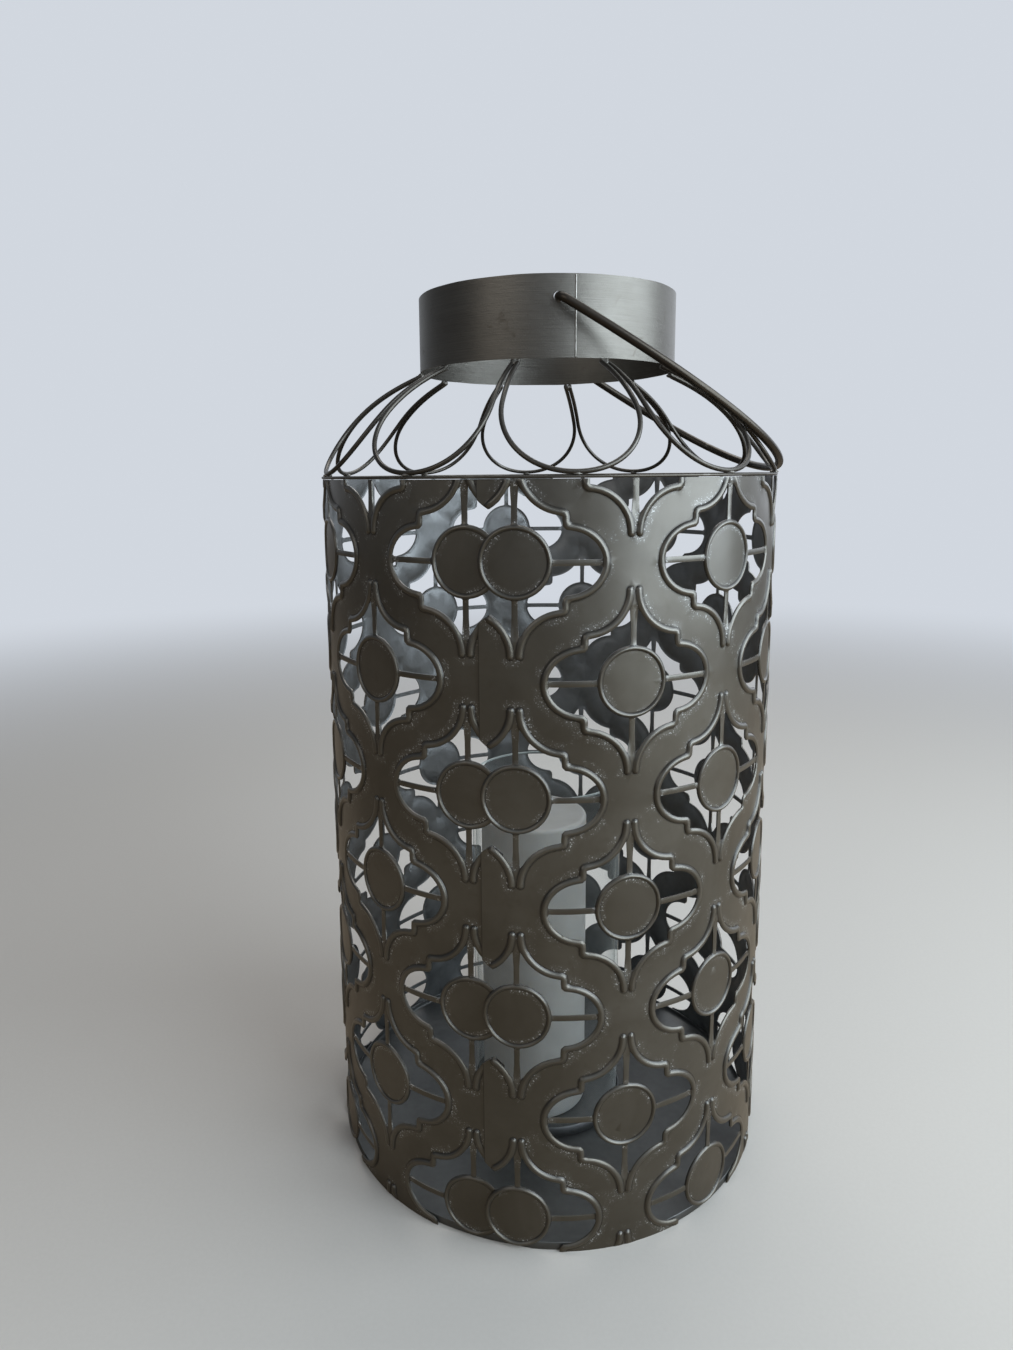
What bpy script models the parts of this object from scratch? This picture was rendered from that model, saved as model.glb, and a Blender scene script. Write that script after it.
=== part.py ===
"""Pierced metal lantern with a wire crown, a collar, a bail handle, a glass chimney and a pillar candle.

Metres, +Z up. The origin is the centre of the base on the floor. Azimuths are measured from the
front (-Y) towards the right (+X). The wall is one flat sheet, pierced in staggered columns, rolled
round and lapped over itself at the front, so it is drawn here flat and then rolled.
"""
import math

import bmesh
import bpy
from mathutils import Vector
from mathutils.geometry import delaunay_2d_cdt

GAP = 0.0003                 # clearance between touching pieces
MERGE = 1e-7                 # points of the flat sheet nearer than this are one point

# rolled sheet wall
BODY_R = 0.1700              # outside of the rim wire, the widest part of the lantern
SHEET_R = 0.1683             # outer face of the sheet
SHEET_T = 0.0009
SHEET_TOP = 0.5200
LAP_GAP = 0.0005             # radial gap between the two layers of the lap
FIRST_AZ = -6.5              # first column of openings, at the end that laps on top
HALF_PITCH_AZ = 24.95        # from one column to the next
COLUMNS = 15                 # the first and the last one overlap in the lap
PITCH_Z = 0.1483             # from one opening to the next in a column
FIRST_Z = 0.0255             # lowest centre in the even columns; the odd ones are half a pitch lower
ROWS = 4
EDGE_STEP_AZ = 12.475        # spacing of the points on the straight edges, so that they roll smoothly
TUCK_START_AZ, TUCK_END_AZ = 328.0, 345.0    # where the under layer steps inwards

# one opening, about its centre (a quarter of it, the rest is mirrored)
WEB_X, WEB_Y = 0.0024, 0.0440    # the hole ends in a point here, beside the bar
SHOULDER_X, SHOULDER_Y, SHOULDER_R = 0.0306, 0.0571, 0.0292    # round shoulder that bulges inwards
STEP_X = 0.0286
LOBE_Y, LOBE_X = 0.0194, 0.0534    # half height and reach of the side lobe
LOBE_POINTS = (64.0, 33.0)   # places of the points along the lobe, in degrees
DISC_R = 0.0228              # medallion
BAR_HALF = 0.0016            # half width of the four bars that carry the medallion
LAP_TRIM = 0.0001            # the lapped ends are cut this far outside their medallions
ARC = math.radians(1.0) * SHEET_R    # length of one degree along the sheet
LAP_SHIFT = (360.0 - (COLUMNS - 1) * HALF_PITCH_AZ) * ARC    # from the last column to the first

# rim wire, base plate and ring that centres the glass
RIM_WIRE_R = 0.0009
RIM_TOP = SHEET_TOP + GAP + 2.0 * RIM_WIRE_R
PAN_R, PAN_T = 0.1648, 0.0012
INSIDE_Z = PAN_T + GAP       # what stands on the base plate starts here
SEAT_R, SEAT_T, SEAT_H = 0.0620, 0.0010, 0.0080

# wire crown
PETALS = 10
PETAL_AZ, PETAL_DRIFT_AZ = 5.6, 1.35    # middle of the front petal; the back ones are turned this far
LEAN_AZ, LEAN_FROM_AZ = 1.65, -11.2    # the feet lean round the rim, to the right on the right side
PETAL_WIRE_R = 0.0016
WIRE_SIDES, RIM_SIDES = 5, 6    # faces round a petal's wire and the rim wire
PETAL_TOP_R, PETAL_FOOT_R = 0.0945, 0.1675
PETAL_BOW, BOW_SKEW = 0.0112, 1.07    # outward bow, and how far its middle is moved to the foot
ROOT_GAP = 0.00355           # between the centre lines of two wires that share a root
PETAL_WAIST, PETAL_BELLY = 0.944, 0.945    # width over half a pitch
WAIST_AT, BELLY_AT = 0.105, 0.504    # places of the narrowest and the widest point, top (0) to foot (1)
ABOVE_BELLY, BELOW_BELLY, FOOT_FLAT = 0.31, 0.31, 0.555    # how far the curve runs on straight there

# collar
COLLAR_R, COLLAR_T = 0.0950, 0.0010
COLLAR_BOTTOM, COLLAR_TOP = 0.5970, 0.6500

# bail handle
PIVOT_AZ, PIVOT_Z = 4.9, 0.6353
ROD_R = 0.0030
HOLE_R = 0.0035
HANDLE_REST = 32.4           # degrees below the horizontal, lying to the right
HANDLE_END = 0.0885          # tip of the rod inside the collar
HANDLE_HALF = 0.1025         # half width at the pivots
HANDLE_SPREAD, HANDLE_ARM = 9.55, 0.1992    # outward lean of the arms and reach of their straight part
HANDLE_CROWN = 0.0241        # flatness of the crown
HANDLE_REACH = 0.2041
BEND_R = 0.0070

# glass and candle
GLASS_R, GLASS_T, GLASS_TOP = 0.0600, 0.0025, 0.2830
CANDLE_R, CANDLE_TOP, CANDLE_X = 0.0430, 0.2500, -0.0100
CANDLE_BEVEL, CANDLE_DISH, DISH_R = 0.0030, 0.0015, 0.0150    # rounded edge, and the dip about the wick
WICK_R, WICK_H = 0.0011, 0.0120

ROUND = 60                   # segments of the large round pieces
GLASS_ROUND, CANDLE_ROUND = 48, 36    # segments of the chimney, and of the candle and the seat
SMOOTH_ANGLE = math.radians(35.0)


def metal(name, colour, metallic, roughness, alpha=1.0, transmission=0.0):
    """A plain Principled material."""
    mat = bpy.data.materials.new(name)
    mat.use_nodes = True
    shader = mat.node_tree.nodes["Principled BSDF"]
    shader.inputs["Base Color"].default_value = (*colour, 1.0)
    shader.inputs["Metallic"].default_value = metallic
    shader.inputs["Roughness"].default_value = roughness
    shader.inputs["Alpha"].default_value = alpha
    shader.inputs["Transmission Weight"].default_value = transmission
    mat.diffuse_color = (*colour, alpha)
    return mat


def add(name, bm, mat, origin=(0.0, 0.0, 0.0)):
    """Turn a bmesh into a named object with its origin moved to a given point."""
    bmesh.ops.translate(bm, verts=bm.verts, vec=-Vector(origin))
    bmesh.ops.recalc_face_normals(bm, faces=bm.faces)
    mesh = bpy.data.meshes.new(name)
    bm.to_mesh(mesh)
    bm.free()
    obj = bpy.data.objects.new(name, mesh)
    bpy.context.scene.collection.objects.link(obj)
    obj.location = origin
    obj.data.materials.append(mat)
    mesh.shade_smooth()
    mesh.set_sharp_from_angle(angle=SMOOTH_ANGLE)
    return obj


def at(radius, azimuth, z):
    """Point at a radius and azimuth (degrees) about the lantern's axis."""
    a = math.radians(azimuth)
    return Vector((radius * math.sin(a), -radius * math.cos(a), z))


def bezier(p0, p1, p2, p3, steps):
    """Points of a cubic curve, without its last one."""
    points = []
    for i in range(steps):
        t = i / steps
        s = 1.0 - t
        points.append(s * s * s * Vector(p0) + 3 * s * s * t * Vector(p1)
                      + 3 * s * t * t * Vector(p2) + t * t * t * Vector(p3))
    return points


def tube(path, radius, sides, closed=False):
    """Round wire along a path, with flat ends."""
    bm = bmesh.new()
    count = len(path)
    rings = []
    normal = None
    for i, point in enumerate(path):
        before = path[i - 1] if closed or i else path[0]
        after = path[(i + 1) % count] if closed or i < count - 1 else path[-1]
        tangent = (after - before).normalized()
        if normal is None:
            normal = tangent.orthogonal()
        normal = (normal - tangent * normal.dot(tangent)).normalized()
        side = tangent.cross(normal)
        ring = []
        for k in range(sides):
            a = 2.0 * math.pi * (k + 0.5) / sides
            ring.append(bm.verts.new(point + radius * (math.cos(a) * normal + math.sin(a) * side)))
        rings.append(ring)
    for i in range(count if closed else count - 1):
        ring, following = rings[i], rings[(i + 1) % count]
        for k in range(sides):
            j = (k + 1) % sides
            bm.faces.new((ring[k], ring[j], following[j], following[k]))
    if not closed:
        bm.faces.new(reversed(rings[0]))
        bm.faces.new(rings[-1])
    return bm


def turned(profile, segments, closed):
    """Body of revolution; an open profile starts and ends on the axis."""
    bm = bmesh.new()
    rings = []
    for radius, z in profile:
        if radius == 0.0:
            rings.append([bm.verts.new((0.0, 0.0, z))])
        else:
            rings.append([bm.verts.new(at(radius, 360.0 * i / segments, z)) for i in range(segments)])
    pairs = list(zip(rings, rings[1:]))
    if closed:
        pairs.append((rings[-1], rings[0]))
    for one, two in pairs:
        for i in range(segments):
            j = (i + 1) % segments
            corners = [one[i % len(one)], one[j % len(one)], two[j % len(two)], two[i % len(two)]]
            bm.faces.new(list(dict.fromkeys(corners)))
    return bm


def clip(polygon, axis, limit, sign):
    """Part of a flat polygon where sign * (coordinate - limit) is not negative."""
    kept = []
    for i, here in enumerate(polygon):
        last = polygon[i - 1]
        inside, was_inside = sign * (here[axis] - limit) >= 0.0, sign * (last[axis] - limit) >= 0.0
        if inside != was_inside:
            kept.append(last + (here - last) * ((limit - last[axis]) / (here[axis] - last[axis])))
        if inside:
            kept.append(here)
    return kept


def shoulder_y(x):
    """Height of the shoulder's round edge at a distance from the opening's upright axis."""
    return SHOULDER_Y - math.sqrt(SHOULDER_R ** 2 - (SHOULDER_X - x) ** 2)


def shoulder(last_x):
    """The hole's point at the web, and two points along the round shoulder."""
    web = math.asin((SHOULDER_Y - WEB_Y) / SHOULDER_R)
    end = math.acos((SHOULDER_X - last_x) / SHOULDER_R)
    along = [(SHOULDER_X - SHOULDER_R * math.cos(a), SHOULDER_Y - SHOULDER_R * math.sin(a))
             for a in (0.5 * (web + end), end)]
    return [(WEB_X, WEB_Y)] + along


def quarter_edge():
    """Outer edge of a quarter of the opening, from its point at the web to the end of the lobe."""
    last = math.asin(BAR_HALF / LOBE_Y)
    angles = [math.radians(a) for a in LOBE_POINTS] + [last]
    lobe = [(STEP_X + (LOBE_X - STEP_X) * math.cos(a), LOBE_Y * math.sin(a)) for a in angles]
    return shoulder(STEP_X) + [(STEP_X, LOBE_Y)] + lobe


def lapped_edge():
    """The same beside a lapped end: each layer is cut back to where both layers are solid.

    That leaves a leaf between the two columns, with its point where their shoulders cross.
    """
    past_end = DISC_R + 2.0 * LAP_TRIM
    return shoulder(0.5 * LAP_SHIFT) + [(past_end, shoulder_y(LAP_SHIFT - past_end))]


def disc_edge():
    """Quarter of the medallion, from the side bar to the upper bar."""
    a = math.asin(BAR_HALF / DISC_R)
    step = (math.pi / 2 - 2 * a) / 3
    return [(DISC_R * math.cos(a + i * step), DISC_R * math.sin(a + i * step)) for i in range(4)]


def mirrored(loop, sx, sy):
    """Mirror a clockwise loop and return it anticlockwise."""
    points = [Vector((sx * x, sy * y)) for x, y in loop]
    return points[::-1] if sx * sy > 0 else points


def opening_holes(side_without_bar):
    """The four holes between the bars, or three where a lapped end has no side bar."""
    inner, lapped = disc_edge(), lapped_edge()
    quarter = quarter_edge() + inner
    half = lapped + [(x, -y) for x, y in reversed(lapped)]
    half += [(x, -y) for x, y in reversed(inner)] + [(DISC_R, 0.0)] + inner
    holes = []
    for sx in (-1, 1):
        if sx == side_without_bar:
            holes.append(mirrored(half, sx, 1))
        else:
            holes += [mirrored(quarter, sx, sy) for sy in (-1, 1)]
    return holes


def rolled(point, inward):
    """Roll a point of the flat sheet; the last columns step inwards under the first."""
    azimuth = point[0] / ARC
    t = min(1.0, max(0.0, (azimuth - TUCK_START_AZ) / (TUCK_END_AZ - TUCK_START_AZ)))
    tuck = (SHEET_T + LAP_GAP) * t * t * (3.0 - 2.0 * t)
    return at(SHEET_R - tuck - inward, azimuth, point[1])


def pattern_holes(start, end):
    """Every hole of the flat sheet, cut off at the sheet's own edges."""
    sheet_edges = ((0, start, 1), (0, end, -1), (1, 0.0, 1), (1, SHEET_TOP, -1))
    holes = []
    for column in range(COLUMNS):
        u = (FIRST_AZ + column * HALF_PITCH_AZ) * ARC
        bare = -1 if column == 0 else 1 if column == COLUMNS - 1 else 0
        for row in range(ROWS + 1):
            z = FIRST_Z + (row - 0.5 * (column % 2)) * PITCH_Z
            for hole in opening_holes(bare):
                hole = [Vector((u, z)) + p for p in hole]
                for axis, limit, sign in sheet_edges:
                    hole = clip(hole, axis, limit, sign) if hole else hole
                if len(hole) > 2:
                    holes.append(hole)
    return holes


def flat_sheet():
    """The pierced sheet before it is rolled: its points, and the triangles that are solid."""
    reach = DISC_R + LAP_TRIM
    start = FIRST_AZ * ARC - reach
    end = (FIRST_AZ + (COLUMNS - 1) * HALF_PITCH_AZ) * ARC + reach
    points, edges, faces = [], [], []
    for hole in pattern_holes(start, end):
        faces.append(list(range(len(points), len(points) + len(hole))))
        points += hole
    columns = range(2 * COLUMNS - 1)
    stations = [start] + [(FIRST_AZ + i * EDGE_STEP_AZ) * ARC for i in columns] + [end]
    outline = [Vector((u, 0.0)) for u in stations] + [Vector((u, SHEET_TOP)) for u in reversed(stations)]
    first = len(points)
    points += outline
    edges += [(first + i, first + (i + 1) % len(outline)) for i in range(len(outline))]
    for u in (end - 360.0 * ARC, start + 360.0 * ARC):
        edges.append((len(points), len(points) + 1))
        points += [Vector((u, 0.0)), Vector((u, SHEET_TOP))]
    flat, _, triangles, _, _, origins = delaunay_2d_cdt(points, edges, faces, 0, MERGE)
    return flat, [tri for tri, origin in zip(triangles, origins) if not origin]


def sheet_wall():
    """The flat sheet, given its thickness and rolled with a lap."""
    flat, solid = flat_sheet()
    bm = bmesh.new()
    used = sorted({i for tri in solid for i in tri})
    outer = {i: bm.verts.new(rolled(flat[i], 0.0)) for i in used}
    inner = {i: bm.verts.new(rolled(flat[i], SHEET_T)) for i in used}
    sides = {}
    for a, b, c in solid:
        bm.faces.new((outer[a], outer[b], outer[c]))
        bm.faces.new((inner[c], inner[b], inner[a]))
        for pair in ((a, b), (b, c), (c, a)):
            sides[pair] = sides.get(pair, 0) + 1
    for a, b in sides:
        if (b, a) not in sides:
            bm.faces.new((outer[b], outer[a], inner[a], inner[b]))
    return bm


def root_azimuth(index):
    """Where two neighbouring petals meet under the collar."""
    nominal = PETAL_AZ + (index - 0.5) * 360.0 / PETALS
    return nominal + PETAL_DRIFT_AZ * math.sin(math.radians(nominal - PETAL_AZ) / 2.0) ** 2


def petal_path(index):
    """Centre line of one wire petal, root to root by way of its foot on the rim."""
    left, right = root_azimuth(index), root_azimuth(index + 1)
    middle, half = 0.5 * (left + right), 0.5 * (right - left)
    lean = LEAN_AZ * math.sin(math.radians(middle - LEAN_FROM_AZ))
    top_z = COLLAR_BOTTOM - GAP - PETAL_WIRE_R
    foot_z = RIM_TOP + GAP + PETAL_WIRE_R
    root = 1.0 - 0.5 * ROOT_GAP / (PETAL_TOP_R * math.radians(half))
    widest = (PETAL_BELLY, BELLY_AT)
    above = (PETAL_BELLY, BELLY_AT - ABOVE_BELLY)
    below = (PETAL_BELLY, BELLY_AT + BELOW_BELLY)
    side = bezier((root, 0.0), (PETAL_WAIST, WAIST_AT), above, widest, 4)
    side += bezier(widest, below, (FOOT_FLAT, 1.0), (0.0, 1.0), 5)
    slope = math.atan2(top_z - foot_z, PETAL_FOOT_R - PETAL_TOP_R)
    path = []
    for width, s in side + [Vector((0.0, 1.0))] + [Vector((-w, s)) for w, s in reversed(side)]:
        skewed = s ** BOW_SKEW
        out = 4.0 * PETAL_BOW * skewed * (1.0 - skewed)
        radius = PETAL_TOP_R + (PETAL_FOOT_R - PETAL_TOP_R) * s + out * math.sin(slope)
        z = top_z + (foot_z - top_z) * s + out * math.cos(slope)
        path.append(at(radius, middle + width * half + lean * s, z))
    return path


def handle_path():
    """Centre line of the bail: in through one hole, round the crown, in through the other."""
    lean = math.radians(HANDLE_SPREAD)
    pull = (HANDLE_HALF + HANDLE_ARM * math.sin(lean), HANDLE_ARM * math.cos(lean))
    arm = bezier((HANDLE_HALF, BEND_R), pull, (HANDLE_CROWN, HANDLE_REACH), (0.0, HANDLE_REACH), 12)
    corner = [(HANDLE_HALF - BEND_R * (1.0 - math.sin(a)), BEND_R * (1.0 - math.cos(a)))
              for a in (0.0, math.pi / 6, math.pi / 3)]
    half = [Vector((HANDLE_END, 0.0))] + [Vector(p) for p in corner] + arm
    whole = half + [Vector((0.0, HANDLE_REACH))] + [Vector((-x, y)) for x, y in reversed(half)]
    axis = at(1.0, PIVOT_AZ, 0.0)
    rest = math.radians(HANDLE_REST)
    reach = at(math.cos(rest), PIVOT_AZ + 90.0, -math.sin(rest))
    return [Vector((0.0, 0.0, PIVOT_Z)) + x * axis + y * reach for x, y in whole]


def pierce(obj, cutter):
    """Boolean difference with a hidden cutter."""
    cutter.hide_render = True
    cutter.display_type = "WIRE"
    mod = obj.modifiers.new("Pivot_Holes", "BOOLEAN")
    mod.operation = "DIFFERENCE"
    mod.solver = "EXACT"
    mod.object = cutter


for old in list(bpy.data.objects):
    bpy.data.objects.remove(old, do_unlink=True)

pewter = metal("Pewter_Sheet", (0.16, 0.145, 0.12), 0.85, 0.42)
rim_metal = metal("Rim_Wire", (0.30, 0.29, 0.26), 0.9, 0.35)
pan_metal = metal("Galvanised_Pan", (0.24, 0.27, 0.31), 0.8, 0.45)
seat_metal = metal("Seat_Ring", (0.22, 0.24, 0.27), 0.8, 0.45)
wire_metal = metal("Petal_Wire", (0.10, 0.09, 0.08), 0.85, 0.45)
collar_metal = metal("Brushed_Collar", (0.30, 0.29, 0.25), 0.95, 0.32)
handle_metal = metal("Handle_Rod", (0.07, 0.065, 0.06), 0.85, 0.42)
clear_glass = metal("Clear_Glass", (0.9, 0.95, 0.96), 0.0, 0.03, 0.35, 1.0)
wax = metal("Candle_Wax", (0.82, 0.78, 0.68), 0.0, 0.5)
cotton = metal("Wick_Cotton", (0.75, 0.72, 0.65), 0.0, 0.9)

add("body_sheet", sheet_wall(), pewter)
rim = [at(BODY_R - RIM_WIRE_R, 360.0 * i / ROUND, RIM_TOP - RIM_WIRE_R) for i in range(ROUND)]
add("top_rim", tube(rim, RIM_WIRE_R, RIM_SIDES, closed=True), rim_metal)
plate = [(0.0, 0.0), (PAN_R, 0.0), (PAN_R, PAN_T), (0.0, PAN_T)]
add("base_pan", turned(plate, ROUND, closed=False), pan_metal)
seat = [(SEAT_R, INSIDE_Z), (SEAT_R, INSIDE_Z + SEAT_H), (SEAT_R - SEAT_T, INSIDE_Z + SEAT_H),
        (SEAT_R - SEAT_T, INSIDE_Z)]
add("glass_seat", turned(seat, CANDLE_ROUND, closed=True), seat_metal)

for n in range(PETALS):
    add(f"petal_{n + 1:02d}", tube(petal_path(n), PETAL_WIRE_R, WIRE_SIDES), wire_metal)

band = [(COLLAR_R, COLLAR_BOTTOM), (COLLAR_R, COLLAR_TOP),
        (COLLAR_R - COLLAR_T, COLLAR_TOP), (COLLAR_R - COLLAR_T, COLLAR_BOTTOM)]
collar = add("collar", turned(band, ROUND, closed=True), collar_metal)
drill = [at(side * (COLLAR_R + BEND_R), PIVOT_AZ, PIVOT_Z) for side in (1.0, -1.0)]
pierce(collar, add("Pivot_Drill", tube(drill, HOLE_R, 16), collar_metal))

add("handle", tube(handle_path(), ROD_R, 8), handle_metal, origin=(0.0, 0.0, PIVOT_Z))

glass = [(GLASS_R, INSIDE_Z), (GLASS_R, GLASS_TOP), (GLASS_R - GLASS_T, GLASS_TOP),
         (GLASS_R - GLASS_T, INSIDE_Z)]
add("glass_cylinder", turned(glass, GLASS_ROUND, closed=True), clear_glass)

pillar = [(0.0, INSIDE_Z), (CANDLE_R, INSIDE_Z), (CANDLE_R, CANDLE_TOP - CANDLE_BEVEL),
          (CANDLE_R - CANDLE_BEVEL, CANDLE_TOP), (DISH_R, CANDLE_TOP - CANDLE_DISH),
          (0.0, CANDLE_TOP - CANDLE_DISH)]
candle = turned(pillar, CANDLE_ROUND, closed=False)
bmesh.ops.translate(candle, verts=candle.verts, vec=(CANDLE_X, 0.0, 0.0))
add("candle", candle, wax, origin=(CANDLE_X, 0.0, INSIDE_Z))
wick_bottom = CANDLE_TOP - CANDLE_DISH + GAP
wick = [Vector((CANDLE_X, 0.0, wick_bottom)), Vector((CANDLE_X, 0.0, wick_bottom + WICK_H))]
add("wick", tube(wick, WICK_R, 8), cotton, origin=wick[0])
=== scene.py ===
# %% [markdown]
# # A pierced metal lantern
#
# The lantern is a flat sheet of steel, pierced and pressed with a four-lobed pattern, painted a
# bronze pewter on the outside, rolled into a drum and lapped over itself at the front. A crown of
# ten wire petals carries a plain collar, and a bail handle hangs in two holes of the collar. Inside
# stand a glass chimney and a pillar candle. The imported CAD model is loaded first: it fixes every
# size, and this file only gives it finer shapes and real finishes.

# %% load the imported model
import math

import bmesh
import bpy
import numpy as np
from mathutils import Matrix, Vector, kdtree, noise
from mathutils.geometry import delaunay_2d_cdt


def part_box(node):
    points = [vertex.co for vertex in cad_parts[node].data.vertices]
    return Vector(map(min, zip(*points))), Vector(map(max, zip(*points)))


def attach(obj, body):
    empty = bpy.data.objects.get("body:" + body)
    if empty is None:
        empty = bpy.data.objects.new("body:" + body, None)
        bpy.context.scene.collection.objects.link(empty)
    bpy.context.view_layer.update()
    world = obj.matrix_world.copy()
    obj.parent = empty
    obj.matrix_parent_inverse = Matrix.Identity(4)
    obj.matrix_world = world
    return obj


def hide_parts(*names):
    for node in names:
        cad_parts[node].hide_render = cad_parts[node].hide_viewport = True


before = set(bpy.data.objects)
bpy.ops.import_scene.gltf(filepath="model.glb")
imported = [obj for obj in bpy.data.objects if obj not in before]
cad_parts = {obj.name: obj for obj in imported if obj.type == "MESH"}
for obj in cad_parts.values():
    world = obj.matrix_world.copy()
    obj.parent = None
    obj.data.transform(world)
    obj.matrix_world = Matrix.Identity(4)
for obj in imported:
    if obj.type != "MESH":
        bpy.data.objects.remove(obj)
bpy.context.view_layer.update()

# %% [markdown]
# ## Sizes
#
# Whatever the frame can tell is read from the boxes of its nodes, so that the two can't drift apart.
# What a box can't tell, such as the pitch of the pattern, is written down once, in metres and
# degrees. Azimuths start at the front (-Y) and grow towards the right (+X).

# %% sizes from the frame, and the pattern's own
MM = 0.001
body_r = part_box("top_rim")[1].x
rim_low, rim_high = (corner.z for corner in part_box("top_rim"))
sheet_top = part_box("body_sheet")[1].z
collar_low, collar_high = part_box("collar")
collar_r = collar_high.x
plate_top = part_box("base_pan")[1].z
SHEET_T, LAP_GAP = 0.9 * MM, 0.5 * MM
RIB_H = 1.6 * MM                   # how far the pressed ribs stand proud
HAIR = 0.05 * MM                   # smallest clearance and tolerance
sheet_r = body_r - RIB_H - HAIR
ARC = math.radians(1.0) * sheet_r  # length of one degree along the sheet

FIRST_AZ, HALF_PITCH_AZ, COLUMNS = -6.5, 24.95, 15
PITCH_Z, FIRST_Z, ROWS = 148.3 * MM, 25.5 * MM, 5
LAP_SHIFT = (360.0 - (COLUMNS - 1) * HALF_PITCH_AZ) * ARC    # from the last column to the first
TUCK_AZ = (328.0, 345.0)           # where the under layer of the lap steps inwards
PRESSED_AZ = (343.4, 345.6)        # where its relief is squeezed flat by the top layer
print("body radius %.4f, sheet radius %.4f, columns %.1f mm apart, %.1f mm in the lap"
      % (body_r, sheet_r, HALF_PITCH_AZ * ARC / MM, LAP_SHIFT / MM))

# %% [markdown]
# ## One opening of the pattern
#
# Each opening is a four-lobed quatrefoil: two side lobes, and two long tips between round shoulders.
# A rib like a half-round cord is pressed along its edge, and the two ribs run side by side to blunt
# ends above and below. The rib's centre line is drawn once as a short chain of arcs, and every other
# line of the mesh is the same line, moved sideways. That keeps the rows of faces parallel to the rib,
# so it stays crisp with few of them.

# %% drawing lines on the flat sheet
FINE = 0.4 * MM                    # distance of the points that draw a curve


def xy(x, y):
    """Flat points from their x and y; one of the two may be a single number."""
    return np.stack(np.broadcast_arrays(x, y), 1)


def arc(cx, cy, rx, ry, start, end):
    """Points on an elliptical arc, angles in degrees."""
    count = max(3, int(math.radians(abs(end - start)) * max(rx, ry) / FINE))
    angles = np.radians(np.linspace(start, end, count))
    return xy(cx + rx * np.cos(angles), cy + ry * np.sin(angles))


def along(line):
    """Distance travelled at each point of a line."""
    return np.concatenate([[0.0], np.cumsum(np.linalg.norm(np.diff(line, axis=0), axis=1))])


def resampled(line, step):
    """The same line with points at an even distance, its ends kept."""
    travel = along(line)
    want = np.linspace(0.0, travel[-1], max(2, int(round(travel[-1] / step)) + 1))
    return xy(np.interp(want, travel, line[:, 0]), np.interp(want, travel, line[:, 1]))


def beside(line, offset):
    """A line moved sideways, to the right of its direction; points that cross over are dropped."""
    step = np.gradient(line, axis=0)
    step /= np.linalg.norm(step, axis=1)[:, None]
    out = line + offset * xy(step[:, 1], -step[:, 0])
    near = np.linalg.norm(out[:, None] - line[None], axis=2).min(1)
    return out[near > abs(offset) - HAIR]


def mirrored(line, sx=1, sy=1):
    """A line turned over left to right where sx is -1, top to bottom where sy is -1."""
    return line * (sx, sy)


print("a quarter turn of 10 mm radius takes", len(arc(0.0, 0.0, 10 * MM, 10 * MM, 0.0, 90.0)), "points")

# %% the rib's centre line
TIP_X, SHOULDER = 2.8 * MM, (30.6 * MM, 57.1 * MM)
SHOULDER_X, SHOULDER_Y = SHOULDER[0] - TIP_X, 27.2 * MM    # the shoulder is nearly a round arc
LOBE_X, LOBE_Y = 55.4 * MM, 21.4 * MM
CORNER_R = 1.7 * MM                # the two small bends where the shoulder steps down to the lobe
EDGE = 2.0 * MM                    # the sheet is cut this far inside the rib's centre line

low_y = SHOULDER[1] - SHOULDER_Y
quarter = resampled(np.concatenate([
    arc(*SHOULDER, SHOULDER_X, SHOULDER_Y, 180.0, 267.0),
    arc(SHOULDER[0] - CORNER_R, low_y - CORNER_R, CORNER_R, CORNER_R, 87.0, 0.0),
    arc(SHOULDER[0] + CORNER_R, LOBE_Y + CORNER_R, CORNER_R, CORNER_R, 180.0, 267.0),
    arc(SHOULDER[0], 0.0, LOBE_X - SHOULDER[0], LOBE_Y, 85.0, 0.0)]), FINE)
side_line = np.concatenate([quarter, mirrored(quarter, sy=-1)[::-1][1:]])
print("rib on one side of an opening: %.0f mm" % (along(side_line)[-1] / MM))

# %% [markdown]
# Beside the lap the first and the last column stand close together, and the rolled sheet was trimmed
# by hand: each layer is cut back to where both are solid. That leaves a leaf between the two columns,
# with its point where their shoulders cross. So on that side the rib stops at the crossing.

# %% the short rib beside the lap


def to_crossing(line):
    """The part of a shoulder line from the tip to the middle of the leaf."""
    return line[(line[:, 0] < 0.5 * LAP_SHIFT) & (line[:, 1] > LOBE_Y + CORNER_R)]


short_line = to_crossing(quarter)
print("the lap's ribs cross at %.1f, %.1f mm" % tuple(short_line[-1] / MM))

# %% [markdown]
# ## The holes
#
# Four bars carry a round medallion in the middle of each opening, so one opening is four holes. The
# bars spread a little where they join the web, and the hole runs to a sharp wedge there. Beside the lap
# there is no side bar, and two of the holes are one.

# %% outlines of the holes
DISC_R, BAR_HALF = 22.8 * MM, 1.85 * MM
WEDGE = (2.5 * MM, 45.5 * MM)      # point of the wedge between the bar and the rib
FILLET = 0.7 * MM                  # the bars spread by this much at the medallion and at the lobe
STATION = 3.0 * MM                 # distance of the points along an edge
SHARED_WEB = 2.2 * MM              # the cut follows the rib to this far below the wedge's point
SPREAD_RUN = 11 * MM               # and the upright bar widens over this length below it
LEAF_END = DISC_R + 1.2 * MM       # the leaf's edge is drawn to this far from the opening's middle
SAME_POINT = 0.25 * MM             # points that are closer than this are one
FOOT_DEPTH = 1.4 * DISC_R          # a medallion lower than this stands on the sheet's edge
BAR_TURN = math.degrees(math.asin((BAR_HALF + FILLET) / DISC_R))    # half a bar's foot on the medallion


def hole_edge(line):
    """The cut edge beside a rib, without the stretch where the two ribs share a solid web."""
    edge = beside(line, EDGE)
    return edge[edge[:, 1] < WEDGE[1] - SHARED_WEB]


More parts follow.
